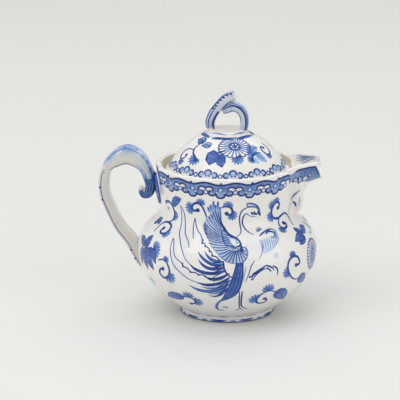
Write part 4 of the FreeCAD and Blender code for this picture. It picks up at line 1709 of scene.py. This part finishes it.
def paint_scrolls(brush):
    """Vines with fringed tufts, leaves and a flower under the beak."""
    for path, tufts in SCROLLS:
        for turn, rise, angle, size in tufts:
            fan(brush, (turn, rise), angle, size)
        vine(brush, path)
    for spine, width in LEAVES:
        leaf(brush, spine, width)
    fan(brush, (-50.6, 66.4), 10.0, 8.4, blades=9)
    branch = [(-64, 63.4), (-58, 65.6), (-52, 66.8), (-47.4, 66), (-46.4, 59.6)]
    brush.stroke(branch, 1.3, 0.97, head=0.4, tail=0.3, layer=4.0)
    for path, width, ink in SOFT_STROKES:
        brush.stroke(path, width, (ink, 1.3 * ink, 0.8 * ink), oval=0.9, columns=5, layer=1.0)
    brush.spot((-56.2, 100), 1.3, 0.5)
    chrysanthemum(brush, SIDE_FLOWER, 11.0, petals=26)


def foot_wall(pot):
    """The side of the foot ring as a surface to paint on."""
    return TurnedWall(np.array(foot_side(pot)))


def paint_bowl_foot(brush):
    """Broken grey-blue strokes round the bottom of the bowl."""
    for turn in range(0, 360, 36):
        path = [(turn - 7, 1.4), (turn, 1.8), (turn + 8, 1.5)]
        brush.stroke(path, 2.4, (0.4, 0.72, 0.5), oval=0.9, columns=5)
        path = [(turn + 14, 1.6), (turn + 20, 2.0), (turn + 25, 1.5)]
        brush.stroke(path, 1.8, (0.3, 0.5), oval=0.9, columns=5)


def paint_foot_ring(brush):
    """A thin wash round the side of the foot ring, under short dark strokes. The wash also stands as painted
    shade.
    """
    turns = range(0, 361, 6)
    # A faint wash, partly the painting's blue and partly painted shade on the foot
    brush.between([(turn, 0.2) for turn in turns], [(turn, 1.6) for turn in turns], 0.14, columns=3)
    for turn in range(-16, 344, 36):
        path = [(turn, 0.9), (turn + 10, 1.0), (turn + 21, 0.8)]
        brush.stroke(path, 1.7, (0.75, 1.0, 0.8), oval=0.9, columns=5, layer=2.5)
        path = [(turn + 24, 0.6), (turn + 28, 0.7), (turn + 33, 0.6)]
        brush.stroke(path, 1.0, (0.4, 0.7, 0.4), oval=0.9, columns=5, layer=2.5)


# The lid


LID_REPEATS = 14
LID_LAPPET_TURN = -15.0
# A place beside the lappet's middle and up the lid, a radius, and where the outline starts and ends
LID_LOBES = [((-5.0, 6.0), 2.1, 60, 300), ((5.0, 6.0), 2.1, -120, 120), ((0.0, 7.3), 2.6, -20, 200)]


def lid_wall(lid):
    """The lid's outside as a surface to paint on. Rises start from the edge of its bevel."""
    start = (lid.radius, lid.bottom + lid.edge - 1.2)
    return TurnedWall(joined([start], lid_profile(lid)))


def paint_lid_border(brush):
    """Upright lappets of three lobes round the lid's edge, with a small ring between each pair."""
    step = 360.0 / LID_REPEATS
    for repeat in range(LID_REPEATS):
        turn = LID_LAPPET_TURN + repeat * step
        for (aside, rise), radius, start, end in LID_LOBES:
            place = brush.near((turn, rise), aside, 0.0)
            brush.spot(place, radius, 0.26, layer=1.2, edge=2.0)
            brush.ring(place, radius, 1.25, 1.0, layer=3.2, start=start, end=end)
        for side in (-2.4, 2.4):
            brush.stroke([(turn + side, 4.4), (turn + 0.6 * side, 6.2)], 0.9, 0.95, layer=3.4)
        eye = (turn + step / 2, 5.2)
        brush.spot(eye, 1.0, 0.1)
        brush.ring(eye, 1.4, 1.0, 0.98)


# Laid out as SCROLLS is
LID_SCROLLS = [
    (
        [(-55, 18), (-55, 15.4), (-60, 13.6), (-66, 17), (-65.4, 21), (-59, 23.4), (-50, 24)],
        [(-57, 13, 275, 4.2)],
    ),
    ([(-35, 16), (-38, 18.4), (-45, 21), (-49, 24.4), (-48.6, 28), (-45, 31)], [(-37, 18, 250, 6.6)]),
    ([(21, 21.6), (17, 20.6), (14.4, 19.8)], [(17.6, 20.4, 268, 5.8)]),
    ([(36, 17.6), (39, 20.4), (45, 22.4), (54, 22)], [(37, 18.4, 200, 4.4)]),
    (
        [(67, 25), (63, 26.4), (60, 23.6), (62, 20), (68, 18.4), (74, 20.6), (77, 25), (74, 29.4)],
        [(66, 18.6, 265, 3.8)],
    ),
]
# A spine, a width and an ink
LID_LEAVES = [
    ([(-42, 31), (-51, 33.8), (-63, 33.4)], 7.0, 0.5),
    ([(-24, 29.4), (-31, 30.6), (-40, 29)], 5.6, 0.34),
]
LID_DABS = [
    ([(36, 20.6), (45, 26.4), (56, 27)], 9.0, 0.5),
    ([(37, 24), (41, 28), (46, 31)], 5.0, 0.6),
    ([(45, 22), (50, 18.4), (55, 13.4)], 7.4, 0.38),
    ([(38, 19), (40, 16.4), (43, 13.6)], 4.6, 0.3),
]
# A broad dab's place and radius, then the spine and width of the leaf on it
HEART_LEAVES = [
    ((-14, 19.6), 3.7, [(-8, 24.4), (-15.4, 20.6), (-15.4, 13.8)], 9.4),
    ((-3.4, 17.6), 3.2, [(-8, 22.4), (-3.4, 18.4), (-1, 12.6)], 7.8),
]


def paint_lid_garden(brush):
    """The flower on the lid with its heart-shaped leaves, scrolls and side leaves."""
    for path, tufts in LID_SCROLLS:
        for turn, rise, angle, size in tufts:
            fan(brush, (turn, rise), angle, size)
        vine(brush, path, width=1.5, ball=1.3)
    for spine, width, ink in LID_LEAVES:
        leaf(brush, spine, width, ink=ink)
    for spine, width, ink in LID_DABS:
        brush.stroke(spine, width, (1.25 * ink, ink, 0.8 * ink), oval=0.8, columns=7, layer=1.0)
        brush.stroke(spine, 0.3 * width, (1.5 * ink, 1.3 * ink), oval=0.8, layer=2.0)
    for place, radius, spine, width in HEART_LEAVES:
        brush.spot(place, radius, 0.78, layer=1.6, edge=0.9, squash=1.3)
        leaf(brush, spine, width, notches=4, ink=0.66)
    brush.stroke([(-10, 24), (-4, 25.6), (3, 27)], 1.6, 0.98, head=0.6, tail=0.5, layer=3.4)
    chrysanthemum(brush, (17, 30.6), 11.4, squash=0.87)


def paint_lid_top(brush):
    """Broad broken arcs round the foot of the knob's pad, each with a dark upper edge."""
    for turn in range(-34, 326, 60):
        path = [(turn, 37.6), (turn + 14, 39), (turn + 36, 39.2), (turn + 54, 38)]
        brush.stroke(path, 3.4, (0.6, 0.9, 0.8, 0.8), head=0.3, tail=0.3, columns=7, layer=1.0)
        brush.stroke([(place[0], place[1] + 1.3) for place in path], 1.0, 1.0, head=0.4, tail=0.4, layer=2.0)


def paint_pad_side(brush):
    """Pale strokes round the side of the knob's pad."""
    for turn in range(-50, 310, 72):
        path = [(turn, 2.2), (turn + 20, 3), (turn + 52, 2.4)]
        brush.stroke(path, 1.2, (0.3, 0.6, 0.4), head=0.5, tail=0.4, layer=1.0)


# Handle, knob and beak. Places on a limb are a share along it and an angle round it.


def along(start, end, angle, steps=7):
    """Places along a band at one angle round it."""
    return [(share, angle) for share in np.linspace(start, end, steps)]


# A share, an angle, a radius and an ink
SCROLL_DABS = [
    (0.13, 322, 2.0, 0.5), (0.21, 333, 2.4, 0.62), (0.3, 326, 2.6, 0.7), (0.38, 340, 2.2, 0.55),
    (0.26, 302, 2.0, 0.06), (0.46, 318, 2.0, 0.5), (0.52, 334, 2.2, 0.6), (0.42, 300, 2.2, 0.06),
    (0.59, 322, 1.8, 0.66),
]


def paint_scroll(brush):
    """Blotchy wash over the top of the handle's scroll that fades down its sides, and a dark curl."""
    blotches = (0.16, 0.42, 0.2, 0.5, 0.16, 0.26, 0.22, 0.42)
    brush.between(along(0.05, 0.68, 315.0, 9), along(0.05, 0.68, 405.0, 9), blotches, columns=12)
    for share, angle, radius, ink in SCROLL_DABS:
        brush.spot((share, angle), radius, ink, layer=1.6, edge=0.5)
        brush.spot((share + 0.03, 712.0 - angle), radius, ink, layer=1.6, edge=0.5)
    curl = (0.15, 0.62, 0.84, 0.9, 0.86, 0.7)
    brush.between(along(0.58, 0.99, 225.0), along(0.58, 0.99, 495.0), curl, layer=1.4, columns=26)
    for side in (1.0, -1.0):
        top = along(0.05, 0.68, 360.0 - side * 45.0, 9)
        brush.between(top, along(0.05, 0.68, 360.0 - side * 92.0, 9), blotches, columns=8, fade=0.05)
        upper = along(0.44, 0.66, 360.0 - side * 50.0)
        lower = along(0.44, 0.66, 360.0 - side * 125.0)
        brush.between(upper, lower, (0.06, 0.3, 0.44), layer=1.2, columns=8)
        brush.stroke(top, 0.7, (0.5, 0.75, 0.5, 0.97), head=0.6, tail=0.6)
        inner = along(0.04, 0.6, 360.0 - side * 131.0)
        brush.stroke(inner, 0.8, (0.9, 0.75, 0.9), head=0.6, tail=0.6)
        for angle in (70.0, 90.0, 110.0):
            brush.stroke(along(0.74, 0.96, 360.0 - side * angle), 0.6, 0.5, head=0.4, tail=0.4)
        for angle in (52.0, 128.0):
            edge = along(0.6, 0.97, 360.0 - side * angle)
            brush.stroke(edge, 0.9, (0.5, 0.97, 0.98), head=0.3, tail=0.8, layer=3.4)


def paint_strap(brush):
    """A pale outer face on the strap, edged by thin dark lines with a few dots."""
    brush.between(along(0.04, 0.92, 246.0), along(0.04, 0.92, 114.0), (0.1, 0.04, 0.1, 0.06), columns=12)
    for side in (1.0, -1.0):
        edge = along(0.03, 0.92, 180.0 + side * 76.0, 9)
        brush.stroke(edge, 0.6, (0.97, 0.85, 0.95), head=0.6, tail=0.6)
        brush.stroke(along(0.03, 0.92, 180.0 + side * 38.0, 9), 0.5, 0.6, head=0.6, tail=0.6)
        for share in (0.18, 0.28, 0.77, 0.85):
            brush.spot((share, 180.0 + side * 58.0), 0.9, 0.97)


def paint_handle_leaf(brush):
    """The leaf on the neck, blue with a pale rib and dark edges."""
    brush.between(along(0.04, 0.97, 12.0), along(0.04, 0.97, 168.0), (0.6, 0.5, 0.62, 0.9), columns=14)
    brush.stroke(along(0.1, 0.9, 90.0), 0.9, 0.3)
    for angle in (14.0, 55.0, 125.0, 166.0):
        brush.stroke(along(0.05, 0.95, angle), 1.0, 0.98)


def paint_knob_leaf(brush):
    """Thin grey-blue wash on the knob's leaf, with a heavy notched band along its upper edge."""
    brush.between(along(0.12, 0.98, 318.0), along(0.12, 0.98, 402.0), (0.2, 0.34, 0.3, 0.24), columns=12)
    for side in (1.0, -1.0):
        low = along(0.08, 0.98, 180.0 + side * 46.0)
        high = along(0.08, 0.98, 180.0 + side * 140.0)
        brush.between(low, high, (0.3, 0.2, 0.14, 0.12), columns=10)
        brush.stroke(high, 1.2, (0.95, 0.97, 1.0, 0.95), head=0.8, tail=0.7)
        root = along(0.04, 0.5, 180.0 + side * 60.0)
        brush.stroke(root, 2.0, (1.0, 1.0, 0.9), head=0.7, tail=0.9)
        brush.stroke(along(0.1, 0.6, 180.0 + side * 104.0), 0.9, 0.9)
        brush.stroke(along(0.55, 0.97, 180.0 + side * 52.0), 0.9, 0.9)
        for share in np.linspace(0.46, 0.9, 7):
            notch = [(share, 180.0 + side * 144.0), (share + 0.04, 180.0 + side * 108.0)]
            brush.stroke(notch, 2.0, 1.0, head=1.0, tail=0.2)


def paint_knob_curl(brush):
    """Grey-blue wash on the knob's curl, with a heavy line along its side and dark edges."""
    brush.between(along(0.06, 0.98, 222.0), along(0.06, 0.98, 138.0), (0.2, 0.26, 0.22), columns=12)
    for side in (1.0, -1.0):
        inner = along(0.06, 0.97, 180.0 + side * 138.0)
        outer = along(0.06, 0.97, 180.0 + side * 44.0)
        brush.between(outer, inner, (0.24, 0.16, 0.2, 0.3), columns=10)
        brush.stroke(along(0.05, 0.96, 180.0 + side * 70.0, 9), 1.5, 1.0, head=0.8, tail=0.5)
        brush.stroke(outer, 0.9, 0.9, head=0.7, tail=0.7)
        brush.stroke(along(0.25, 0.97, 180.0 + side * 130.0), 1.0, 0.97, head=0.3, tail=0.9)


def paint_beak_outside(brush):
    """A blue band on the beak's outer wall, under a dark line, with scrolls and a ring."""
    top = [(-0.02, 0.07), (0.15, 0.05), (0.39, 0.055), (0.6, 0.065), (0.75, 0.075), (0.95, 0.09)]
    low = [(-0.02, 0.15), (0.15, 0.2), (0.39, 0.3), (0.6, 0.42), (0.75, 0.56), (0.96, 0.6)]
    brush.between(top, low, (0.38, 0.5, 0.58, 0.6), columns=8, fade=0.7)
    brush.stroke(top[1:], 1.3, 1.0, head=0.8, tail=1.0, edge=1.0)
    brush.stroke([(0.95, 0.09), (0.965, 0.3), (0.975, 0.58)], 1.1, 0.98, head=1.0, tail=0.4)
    brush.stroke(low, 0.8, (0.7, 0.92), head=0.6, tail=1.0)
    for place, radius in (((0.13, 0.17), 2.0), ((0.4, 0.25), 2.5), ((0.66, 0.38), 2.4)):
        brush.spot(place, 0.9 * radius, 0.08, layer=2.0)
        brush.ring(place, radius, 0.95, 0.98, layer=3.2, start=-210, end=30)
    brush.spot((0.8, 0.34), 0.9, 0.1, layer=2.2)
    brush.ring((0.8, 0.34), 1.2, 0.7, 0.92, layer=3.2)
    for path, width, ink in (
        ([(0.29, 0.39), (0.13, 0.38), (0.0, 0.43)], 2.0, 0.42),
        ([(0.14, 0.36), (0.06, 0.39), (0.0, 0.45)], 1.2, 0.8),
        ([(0.02, 0.48), (0.06, 0.55), (0.065, 0.66)], 1.8, 0.8),
        ([(0.2, 0.48), (0.17, 0.58), (0.1, 0.7)], 1.0, 0.34),
    ):
        brush.stroke(path, width, (ink, 0.75 * ink), oval=0.9, columns=5)


def paint_beak_inside(brush):
    """Slanting grey-blue strokes on the inside of the beak's wall."""
    for path in (
        [(0.0, 0.03), (0.3, 0.025), (0.6, 0.03), (0.92, 0.03)],
        [(0.0, 0.11), (0.3, 0.08), (0.66, 0.05)],
        [(0.0, 0.19), (0.34, 0.14), (0.74, 0.06)],
        [(0.06, 0.26), (0.5, 0.16), (0.86, 0.07)],
        [(0.3, 0.29), (0.66, 0.2), (0.9, 0.12)],
    ):
        brush.stroke(path, 0.9, (0.3, 0.46, 0.34), head=0.4, tail=0.6, columns=5)


# The steps, each a piece or a group of like pieces


def part_sizes(context):
    """All the sizes that a step may need, in millimetres, and the glaze's colours."""
    sizes = types.SimpleNamespace(glaze=context.scene.teapot_glaze)
    for part in ("pot", "lid", "beak", "handle", "knob"):
        setattr(sizes, part, in_millimetres(getattr(context.scene, "teapot_" + part)))
    return sizes


def settle_white(piece, body, materials, nodes, facing_grey=0.0, angle=40.0):
    """Finish a white piece: no ink, grey on the faces that face front and back, smooth shading and its
    materials.
    """
    set_values(piece, "ink", 0.0)
    grey_facing_sides(piece, facing_grey)
    smooth(piece, angle)
    settle(piece, body, materials, nodes)


def settle_painting(brush, name, body, glaze, facing_grey=0.0):
    """Finish all that a brush has painted as one piece."""
    piece = brush.build(name)
    grey_facing_sides(piece, facing_grey)
    settle(piece, body, [glazed_porcelain(glaze)])


def both_sides(brush, *painters):
    """Paint the front, then the same turned over on the back."""
    for about in (None, 90.0):
        brush.mirror_about = about
        for painter in painters:
            painter(brush)
    brush.mirror_about = None


def paint_limb(limb, painter, name, body, glaze, facing_grey):
    """Paint a limb, whose places are shares and angles."""
    brush = Brush(limb, small=(0.002, 0.5), fine=0.35)
    painter(brush)
    settle_painting(brush, name, body, glaze, facing_grey)


def face_toward(item, target):
    way = Vector(target) - item.location
    item.rotation_euler = way.to_track_quat("-Z", "Y").to_euler()


def soft_light(name, place, target, size, power):
    """A square soft light that faces a target."""
    clear_selection()
    bpy.ops.object.light_add(type="AREA", location=place)
    lamp = bpy.context.object
    lamp.name = name
    lamp.data.size = size
    lamp.data.energy = power
    face_toward(lamp, target)


# A light's name, place, size and power
STUDIO_LIGHTS = [
    ("key_light", (-0.9, -1.4, 2.2), 2.0, 19.0),
    ("fill_light", (1.5, -0.9, 0.6), 1.6, 9.5),
    ("side_light", (-1.6, -0.6, 0.5), 1.6, 7.0),
    ("top_light", (0.1, 0.8, 2.4), 3.0, 32.0),
]
ROOM_LIGHT = {"Color": (1.0, 1.0, 0.99, 1.0), "Strength": 0.47}
TABLE_SIZE = 8.0
# The camera in degrees, metres and millimetres, and the pixel where its target stands
CAMERA_SWING = 5.0
CAMERA_ELEVATION = 16.0
CAMERA_DISTANCE = 1.8
CAMERA_LENS = 216.0
CAMERA_SENSOR = 36.0
TARGET_HEIGHT = 0.05625
PICTURE_SIZE = 400
TARGET_PIXEL = (227.3, 237.0)

# Steps round a turned piece
POT_STEPS = 280
LID_STEPS = 200
# How far inside the rim the lobes start, and over what width they grow to their depth
LOBE_INSET = 4.9
LOBE_GROWTH = 2.5
# Width of the glazed lip, and how far the bare clay keeps from it and passes the seat
LIP_WIDTH = 3.6
BARE_MARGIN = 1.0
# How much wider the cut through the neck is than the channel of the beak
CHANNEL_SPARE = 0.25
# How much a piece is greyed on faces that face front and back, from 0 to 1
SCROLL_FACING_GREY = 0.8
STRAP_FACING_GREY = 1.0
KNOB_FACING_GREY = 0.6
BORDER_FACING_GREY = 0.5
BEAK_FACING_GREY = 1.0


class TEAPOT_OT_build_stage(bpy.types.Operator):
    """Lay the table top, hang the soft lights and set the camera"""

    bl_idname = "teapot.build_stage"
    bl_label = "Build stage"

    def execute(self, context):
        sizes = part_sizes(context)
        clear_selection()
        bpy.ops.mesh.primitive_plane_add(size=TABLE_SIZE)
        table = context.object
        table.name = "table"
        table.data.materials.append(table_top(sizes.glaze))
        world = bpy.data.worlds.new("studio")
        context.scene.world = world
        world.use_nodes = True
        set_inputs(world.node_tree.nodes["Background"], ROOM_LIGHT)
        target = Vector((0.0, 0.0, TARGET_HEIGHT))
        for name, place, size, power in STUDIO_LIGHTS:
            soft_light(name, place, target, size, power)
        swing = math.radians(CAMERA_SWING)
        lift = math.radians(CAMERA_ELEVATION)
        back = Vector((math.sin(swing) * math.cos(lift), -math.cos(swing) * math.cos(lift), math.sin(lift)))
        right = Vector((math.cos(swing), math.sin(swing), 0.0))
        up = back.cross(right)
        focal = CAMERA_LENS / CAMERA_SENSOR * PICTURE_SIZE
        aside = (PICTURE_SIZE / 2 - TARGET_PIXEL[0]) / focal
        above = (TARGET_PIXEL[1] - PICTURE_SIZE / 2) / focal
        aim = target + CAMERA_DISTANCE * (right * aside + up * above)
        bpy.ops.object.camera_add(location=target + CAMERA_DISTANCE * back)
        camera = context.object
        camera.name = "camera"
        camera.data.sensor_width = CAMERA_SENSOR
        camera.data.lens = CAMERA_LENS
        face_toward(camera, aim)
        context.scene.camera = camera
        context.scene.view_settings.view_transform = "Standard"
        clear_selection()
        return {"FINISHED"}


class TEAPOT_OT_build_pot(bpy.types.Operator):
    """Turn the pot, press the lobes into its lip and cut the channel of the beak through its neck"""

    bl_idname = "teapot.build_pot"
    bl_label = "Build pot"

    def execute(self, context):
        sizes = part_sizes(context)
        pot = sizes.pot
        piece = lathe("pot_wall", pot_section(pot), POT_STEPS)
        points = points_of(piece)
        radius = np.hypot(points[:, 0], points[:, 1])
        turn = np.arctan2(points[:, 0], -points[:, 1])
        on_lip = points[:, 2] > pot.rim_height - pot.lip_height
        outer = on_lip * np.clip((radius - pot.rim_radius + LOBE_INSET) / LOBE_GROWTH, 0.0, 1.0)
        notch = pot_wall(pot).notch(turn, np.minimum(points[:, 2], pot.rim_height - pot.lip_round))
        scale = (radius - outer * notch) / np.maximum(radius, 1e-6)
        points[:, :2] *= scale[:, None]
        move_points(piece, points)
        cut_away(piece, extrude_rings("channel", BeakShape(pot, sizes.beak).cutter_rings(CHANNEL_SPARE)))
        glaze = sizes.glaze
        # The foot's bare clay carries painted contact shadow in its dark tone
        foot_clay_with_contact_shade = bare_clay("bare_foot_contact_shade", glaze.clay)
        # The seat's bare clay carries painted shade in its warm, darker tint
        seat_clay_with_painted_shade = bare_clay("bare_seat_painted_shade", glaze.seat)
        settle_white(piece, "pot", [glazed_porcelain(glaze), foot_clay_with_contact_shade, seat_clay_with_painted_shade], POT_NODES, angle=35.0)
        # Faces below this height get the dark clay: the unglazed edge and painted contact shadow
        bare_foot_contact_shade = 0.4 * pot.foot_height
        bare_top = pot.rim_height - BARE_MARGIN
        bare_bottom = pot.rim_height - pot.seat_depth - BARE_MARGIN
        for face in piece.data.polygons:
            rise = face.center.z / MM
            inside_lip = face.center.xy.length / MM < pot.rim_radius - LIP_WIDTH
            if rise < bare_foot_contact_shade:
                face.material_index = 1
            elif bare_bottom < rise < bare_top and inside_lip:
                if face.normal.xy.dot(face.center.xy) <= 1e-6:
                    face.material_index = 2
        return {"FINISHED"}


class TEAPOT_OT_build_beak(bpy.types.Operator):
    """Draw the open beak out of the neck"""

    bl_idname = "teapot.build_beak"
    bl_label = "Build beak"

    def execute(self, context):
        sizes = part_sizes(context)
        piece = extrude_rings("beak_gutter", BeakShape(sizes.pot, sizes.beak).rings(34, 49))
        settle_white(piece, "pot", [glazed_porcelain(sizes.glaze)], ["spout_beak"])
        return {"FINISHED"}


class TEAPOT_OT_build_handle(bpy.types.Operator):
    """Draw the handle's scroll and strap and the leaf behind the curl"""

    bl_idname = "teapot.build_handle"
    bl_label = "Build handle"

    def execute(self, context):
        sizes = part_sizes(context)
        scroll, strap = handle_bands(sizes.pot, sizes.handle)
        leaf_pad = LeafPad(sizes.pot, sizes.handle)
        glaze = glazed_porcelain(sizes.glaze)
        for name, rings, facing_grey, node in (
            ("scroll_limb", limb_rings(scroll, 90, 56), SCROLL_FACING_GREY, "handle_scroll"),
            ("strap_limb", limb_rings(strap, 80, 56), STRAP_FACING_GREY, "handle_strap"),
            ("leaf_pad", limb_rings(leaf_pad, 30, 40), 0.0, "handle_leaf"),
        ):
            settle_white(extrude_rings(name, rings), "pot", [glaze], [node], facing_grey)
        return {"FINISHED"}


class TEAPOT_OT_build_lid(bpy.types.Operator):
    """Turn the lid's dome, its collar and the pad of its knob"""

    bl_idname = "teapot.build_lid"
    bl_label = "Build lid"

    def execute(self, context):
        sizes = part_sizes(context)
        glaze = glazed_porcelain(sizes.glaze)
        # The collar takes the seat's bare clay with its painted shade
        clay = bare_clay("bare_seat_painted_shade", sizes.glaze.seat)
        for name, section, node, material in (
            ("dome", lid_section(sizes.lid), "lid_dome", glaze),
            ("locating_collar", collar_section(sizes.lid), "lid_flange", clay),
            ("pad", pad_section(sizes.lid), "knob_pad", glaze),
        ):
            settle_white(lathe(name, section, LID_STEPS), "lid", [material], [node])
        return {"FINISHED"}


class TEAPOT_OT_build_knob(bpy.types.Operator):
    """Draw the two crossing limbs of the loop knob"""

    bl_idname = "teapot.build_knob"
    bl_label = "Build knob"

    def execute(self, context):
        sizes = part_sizes(context)
        leaf_limb, curl_limb = knob_bands(sizes.lid, sizes.knob)
        glaze = glazed_porcelain(sizes.glaze)
        for name, limb, node in (
            ("leaf_limb", leaf_limb, "knob_leaf"),
            ("curl_limb", curl_limb, "knob_scroll"),
        ):
            piece = extrude_rings(name, limb_rings(limb, 60, 48))
            settle_white(piece, "lid", [glaze], [node], KNOB_FACING_GREY)
        return {"FINISHED"}


class TEAPOT_OT_paint_borders(bpy.types.Operator):
    """Paint the collar under the lip and the strokes round the foot"""

    bl_idname = "teapot.paint_borders"
    bl_label = "Paint borders"

    def execute(self, context):
        sizes = part_sizes(context)
        brush = Brush(pot_wall(sizes.pot))
        paint_collar(brush, sizes.pot.lobes)
        paint_bowl_foot(brush)
        settle_painting(brush, "border_painting", "pot", sizes.glaze, BORDER_FACING_GREY)
        brush = Brush(foot_wall(sizes.pot))
        paint_foot_ring(brush)
        settle_painting(brush, "foot_painting", "pot", sizes.glaze)
        return {"FINISHED"}


class TEAPOT_OT_paint_bird(bpy.types.Operator):
    """Paint the long-tailed bird on both sides of the bowl"""

    bl_idname = "teapot.paint_bird"
    bl_label = "Paint bird"

    def execute(self, context):
        sizes = part_sizes(context)
        brush = Brush(pot_wall(sizes.pot))
        both_sides(brush, paint_tail, paint_body, paint_wing)
        settle_painting(brush, "bird_painting", "pot", sizes.glaze)
        return {"FINISHED"}


class TEAPOT_OT_paint_scrolls(bpy.types.Operator):
    """Paint the scrolls, leaves and flower round the bird on both sides"""

    bl_idname = "teapot.paint_scrolls"
    bl_label = "Paint scrolls"

    def execute(self, context):
        sizes = part_sizes(context)
        brush = Brush(pot_wall(sizes.pot))
        both_sides(brush, paint_scrolls)
        settle_painting(brush, "scroll_painting", "pot", sizes.glaze)
        return {"FINISHED"}


class TEAPOT_OT_paint_lid(bpy.types.Operator):
    """Paint the lid's border, its flowers and the ring round the knob's pad"""

    bl_idname = "teapot.paint_lid"
    bl_label = "Paint lid"

    def execute(self, context):
        sizes = part_sizes(context)
        brush = Brush(lid_wall(sizes.lid))
        paint_lid_border(brush)
        paint_lid_top(brush)
        both_sides(brush, paint_lid_garden)
        settle_painting(brush, "lid_painting", "lid", sizes.glaze)
        brush = Brush(TurnedWall(pad_profile(sizes.lid)))
        paint_pad_side(brush)
        settle_painting(brush, "pad_painting", "lid", sizes.glaze)
        return {"FINISHED"}


class TEAPOT_OT_paint_handle(bpy.types.Operator):
    """Paint the handle's scroll, strap and leaf"""

    bl_idname = "teapot.paint_handle"
    bl_label = "Paint handle"

    def execute(self, context):
        sizes = part_sizes(context)
        scroll, strap = handle_bands(sizes.pot, sizes.handle)
        leaf_pad = LeafPad(sizes.pot, sizes.handle)
        for name, limb, painter, facing_grey in (
            ("scroll_painting_wash", scroll, paint_scroll, SCROLL_FACING_GREY),
            ("strap_painting", strap, paint_strap, STRAP_FACING_GREY),
            ("leaf_painting", leaf_pad, paint_handle_leaf, 0.0),
        ):
            paint_limb(limb, painter, name, "pot", sizes.glaze, facing_grey)
        return {"FINISHED"}


class TEAPOT_OT_paint_knob(bpy.types.Operator):
    """Paint the knob's two limbs"""

    bl_idname = "teapot.paint_knob"
    bl_label = "Paint knob"

    def execute(self, context):
        sizes = part_sizes(context)
        leaf_limb, curl_limb = knob_bands(sizes.lid, sizes.knob)
        for name, limb, painter in (
            ("knob_leaf_painting", leaf_limb, paint_knob_leaf),
            ("knob_curl_painting", curl_limb, paint_knob_curl),
        ):
            paint_limb(limb, painter, name, "lid", sizes.glaze, KNOB_FACING_GREY)
        return {"FINISHED"}


class TEAPOT_OT_paint_beak(bpy.types.Operator):
    """Paint the beak's outer walls and the strokes inside it"""

    bl_idname = "teapot.paint_beak"
    bl_label = "Paint beak"

    def execute(self, context):
        sizes = part_sizes(context)
        shape = BeakShape(sizes.pot, sizes.beak)
        for name, inside, far in (
            ("beak_near_painting", False, False),
            ("beak_far_painting", False, True),
            ("beak_inside_near_painting", True, False),
            ("beak_inside_far_painting", True, True),
        ):
            wall = BeakWall(shape, inside, far)
            brush = Brush(wall, small=(0.01, 0.01), outward=1.0 if far != inside else -1.0)
            painter = paint_beak_inside if inside else paint_beak_outside
            painter(brush)
            settle_painting(brush, name, "pot", sizes.glaze, BEAK_FACING_GREY)
        return {"FINISHED"}


STEPS = [
    TEAPOT_OT_build_stage,
    TEAPOT_OT_build_pot,
    TEAPOT_OT_build_beak,
    TEAPOT_OT_build_handle,
    TEAPOT_OT_build_lid,
    TEAPOT_OT_build_knob,
    TEAPOT_OT_paint_borders,
    TEAPOT_OT_paint_bird,
    TEAPOT_OT_paint_scrolls,
    TEAPOT_OT_paint_lid,
    TEAPOT_OT_paint_handle,
    TEAPOT_OT_paint_knob,
    TEAPOT_OT_paint_beak,
]


class TEAPOT_PT_steps(bpy.types.Panel):
    """Lists the steps that build and paint the teapot"""

    bl_idname = "TEAPOT_PT_steps"
    bl_label = "Teapot"
    bl_space_type = "VIEW_3D"
    bl_region_type = "UI"
    bl_category = "Teapot"

    def draw(self, context):
        column = self.layout.column()
        for step in STEPS:
            column.operator(step.bl_idname)


CLASSES = [*SIZE_GROUPS.values(), *STEPS, TEAPOT_PT_steps]


def register():
    for part in CLASSES:
        bpy.utils.register_class(part)
    for name, group in SIZE_GROUPS.items():
        setattr(bpy.types.Scene, name, bpy.props.PointerProperty(type=group))


def unregister():
    for name in SIZE_GROUPS:
        delattr(bpy.types.Scene, name)
    for part in reversed(CLASSES):
        bpy.utils.unregister_class(part)


def main():
    register()
    bpy.ops.teapot.build_stage()
    bpy.ops.teapot.build_pot()
    bpy.ops.teapot.build_beak()
    bpy.ops.teapot.build_handle()
    bpy.ops.teapot.build_lid()
    bpy.ops.teapot.build_knob()
    bpy.ops.teapot.paint_borders()
    bpy.ops.teapot.paint_bird()
    bpy.ops.teapot.paint_scrolls()
    bpy.ops.teapot.paint_lid()
    bpy.ops.teapot.paint_handle()
    bpy.ops.teapot.paint_knob()
    bpy.ops.teapot.paint_beak()


if __name__ == "__main__":
    main()
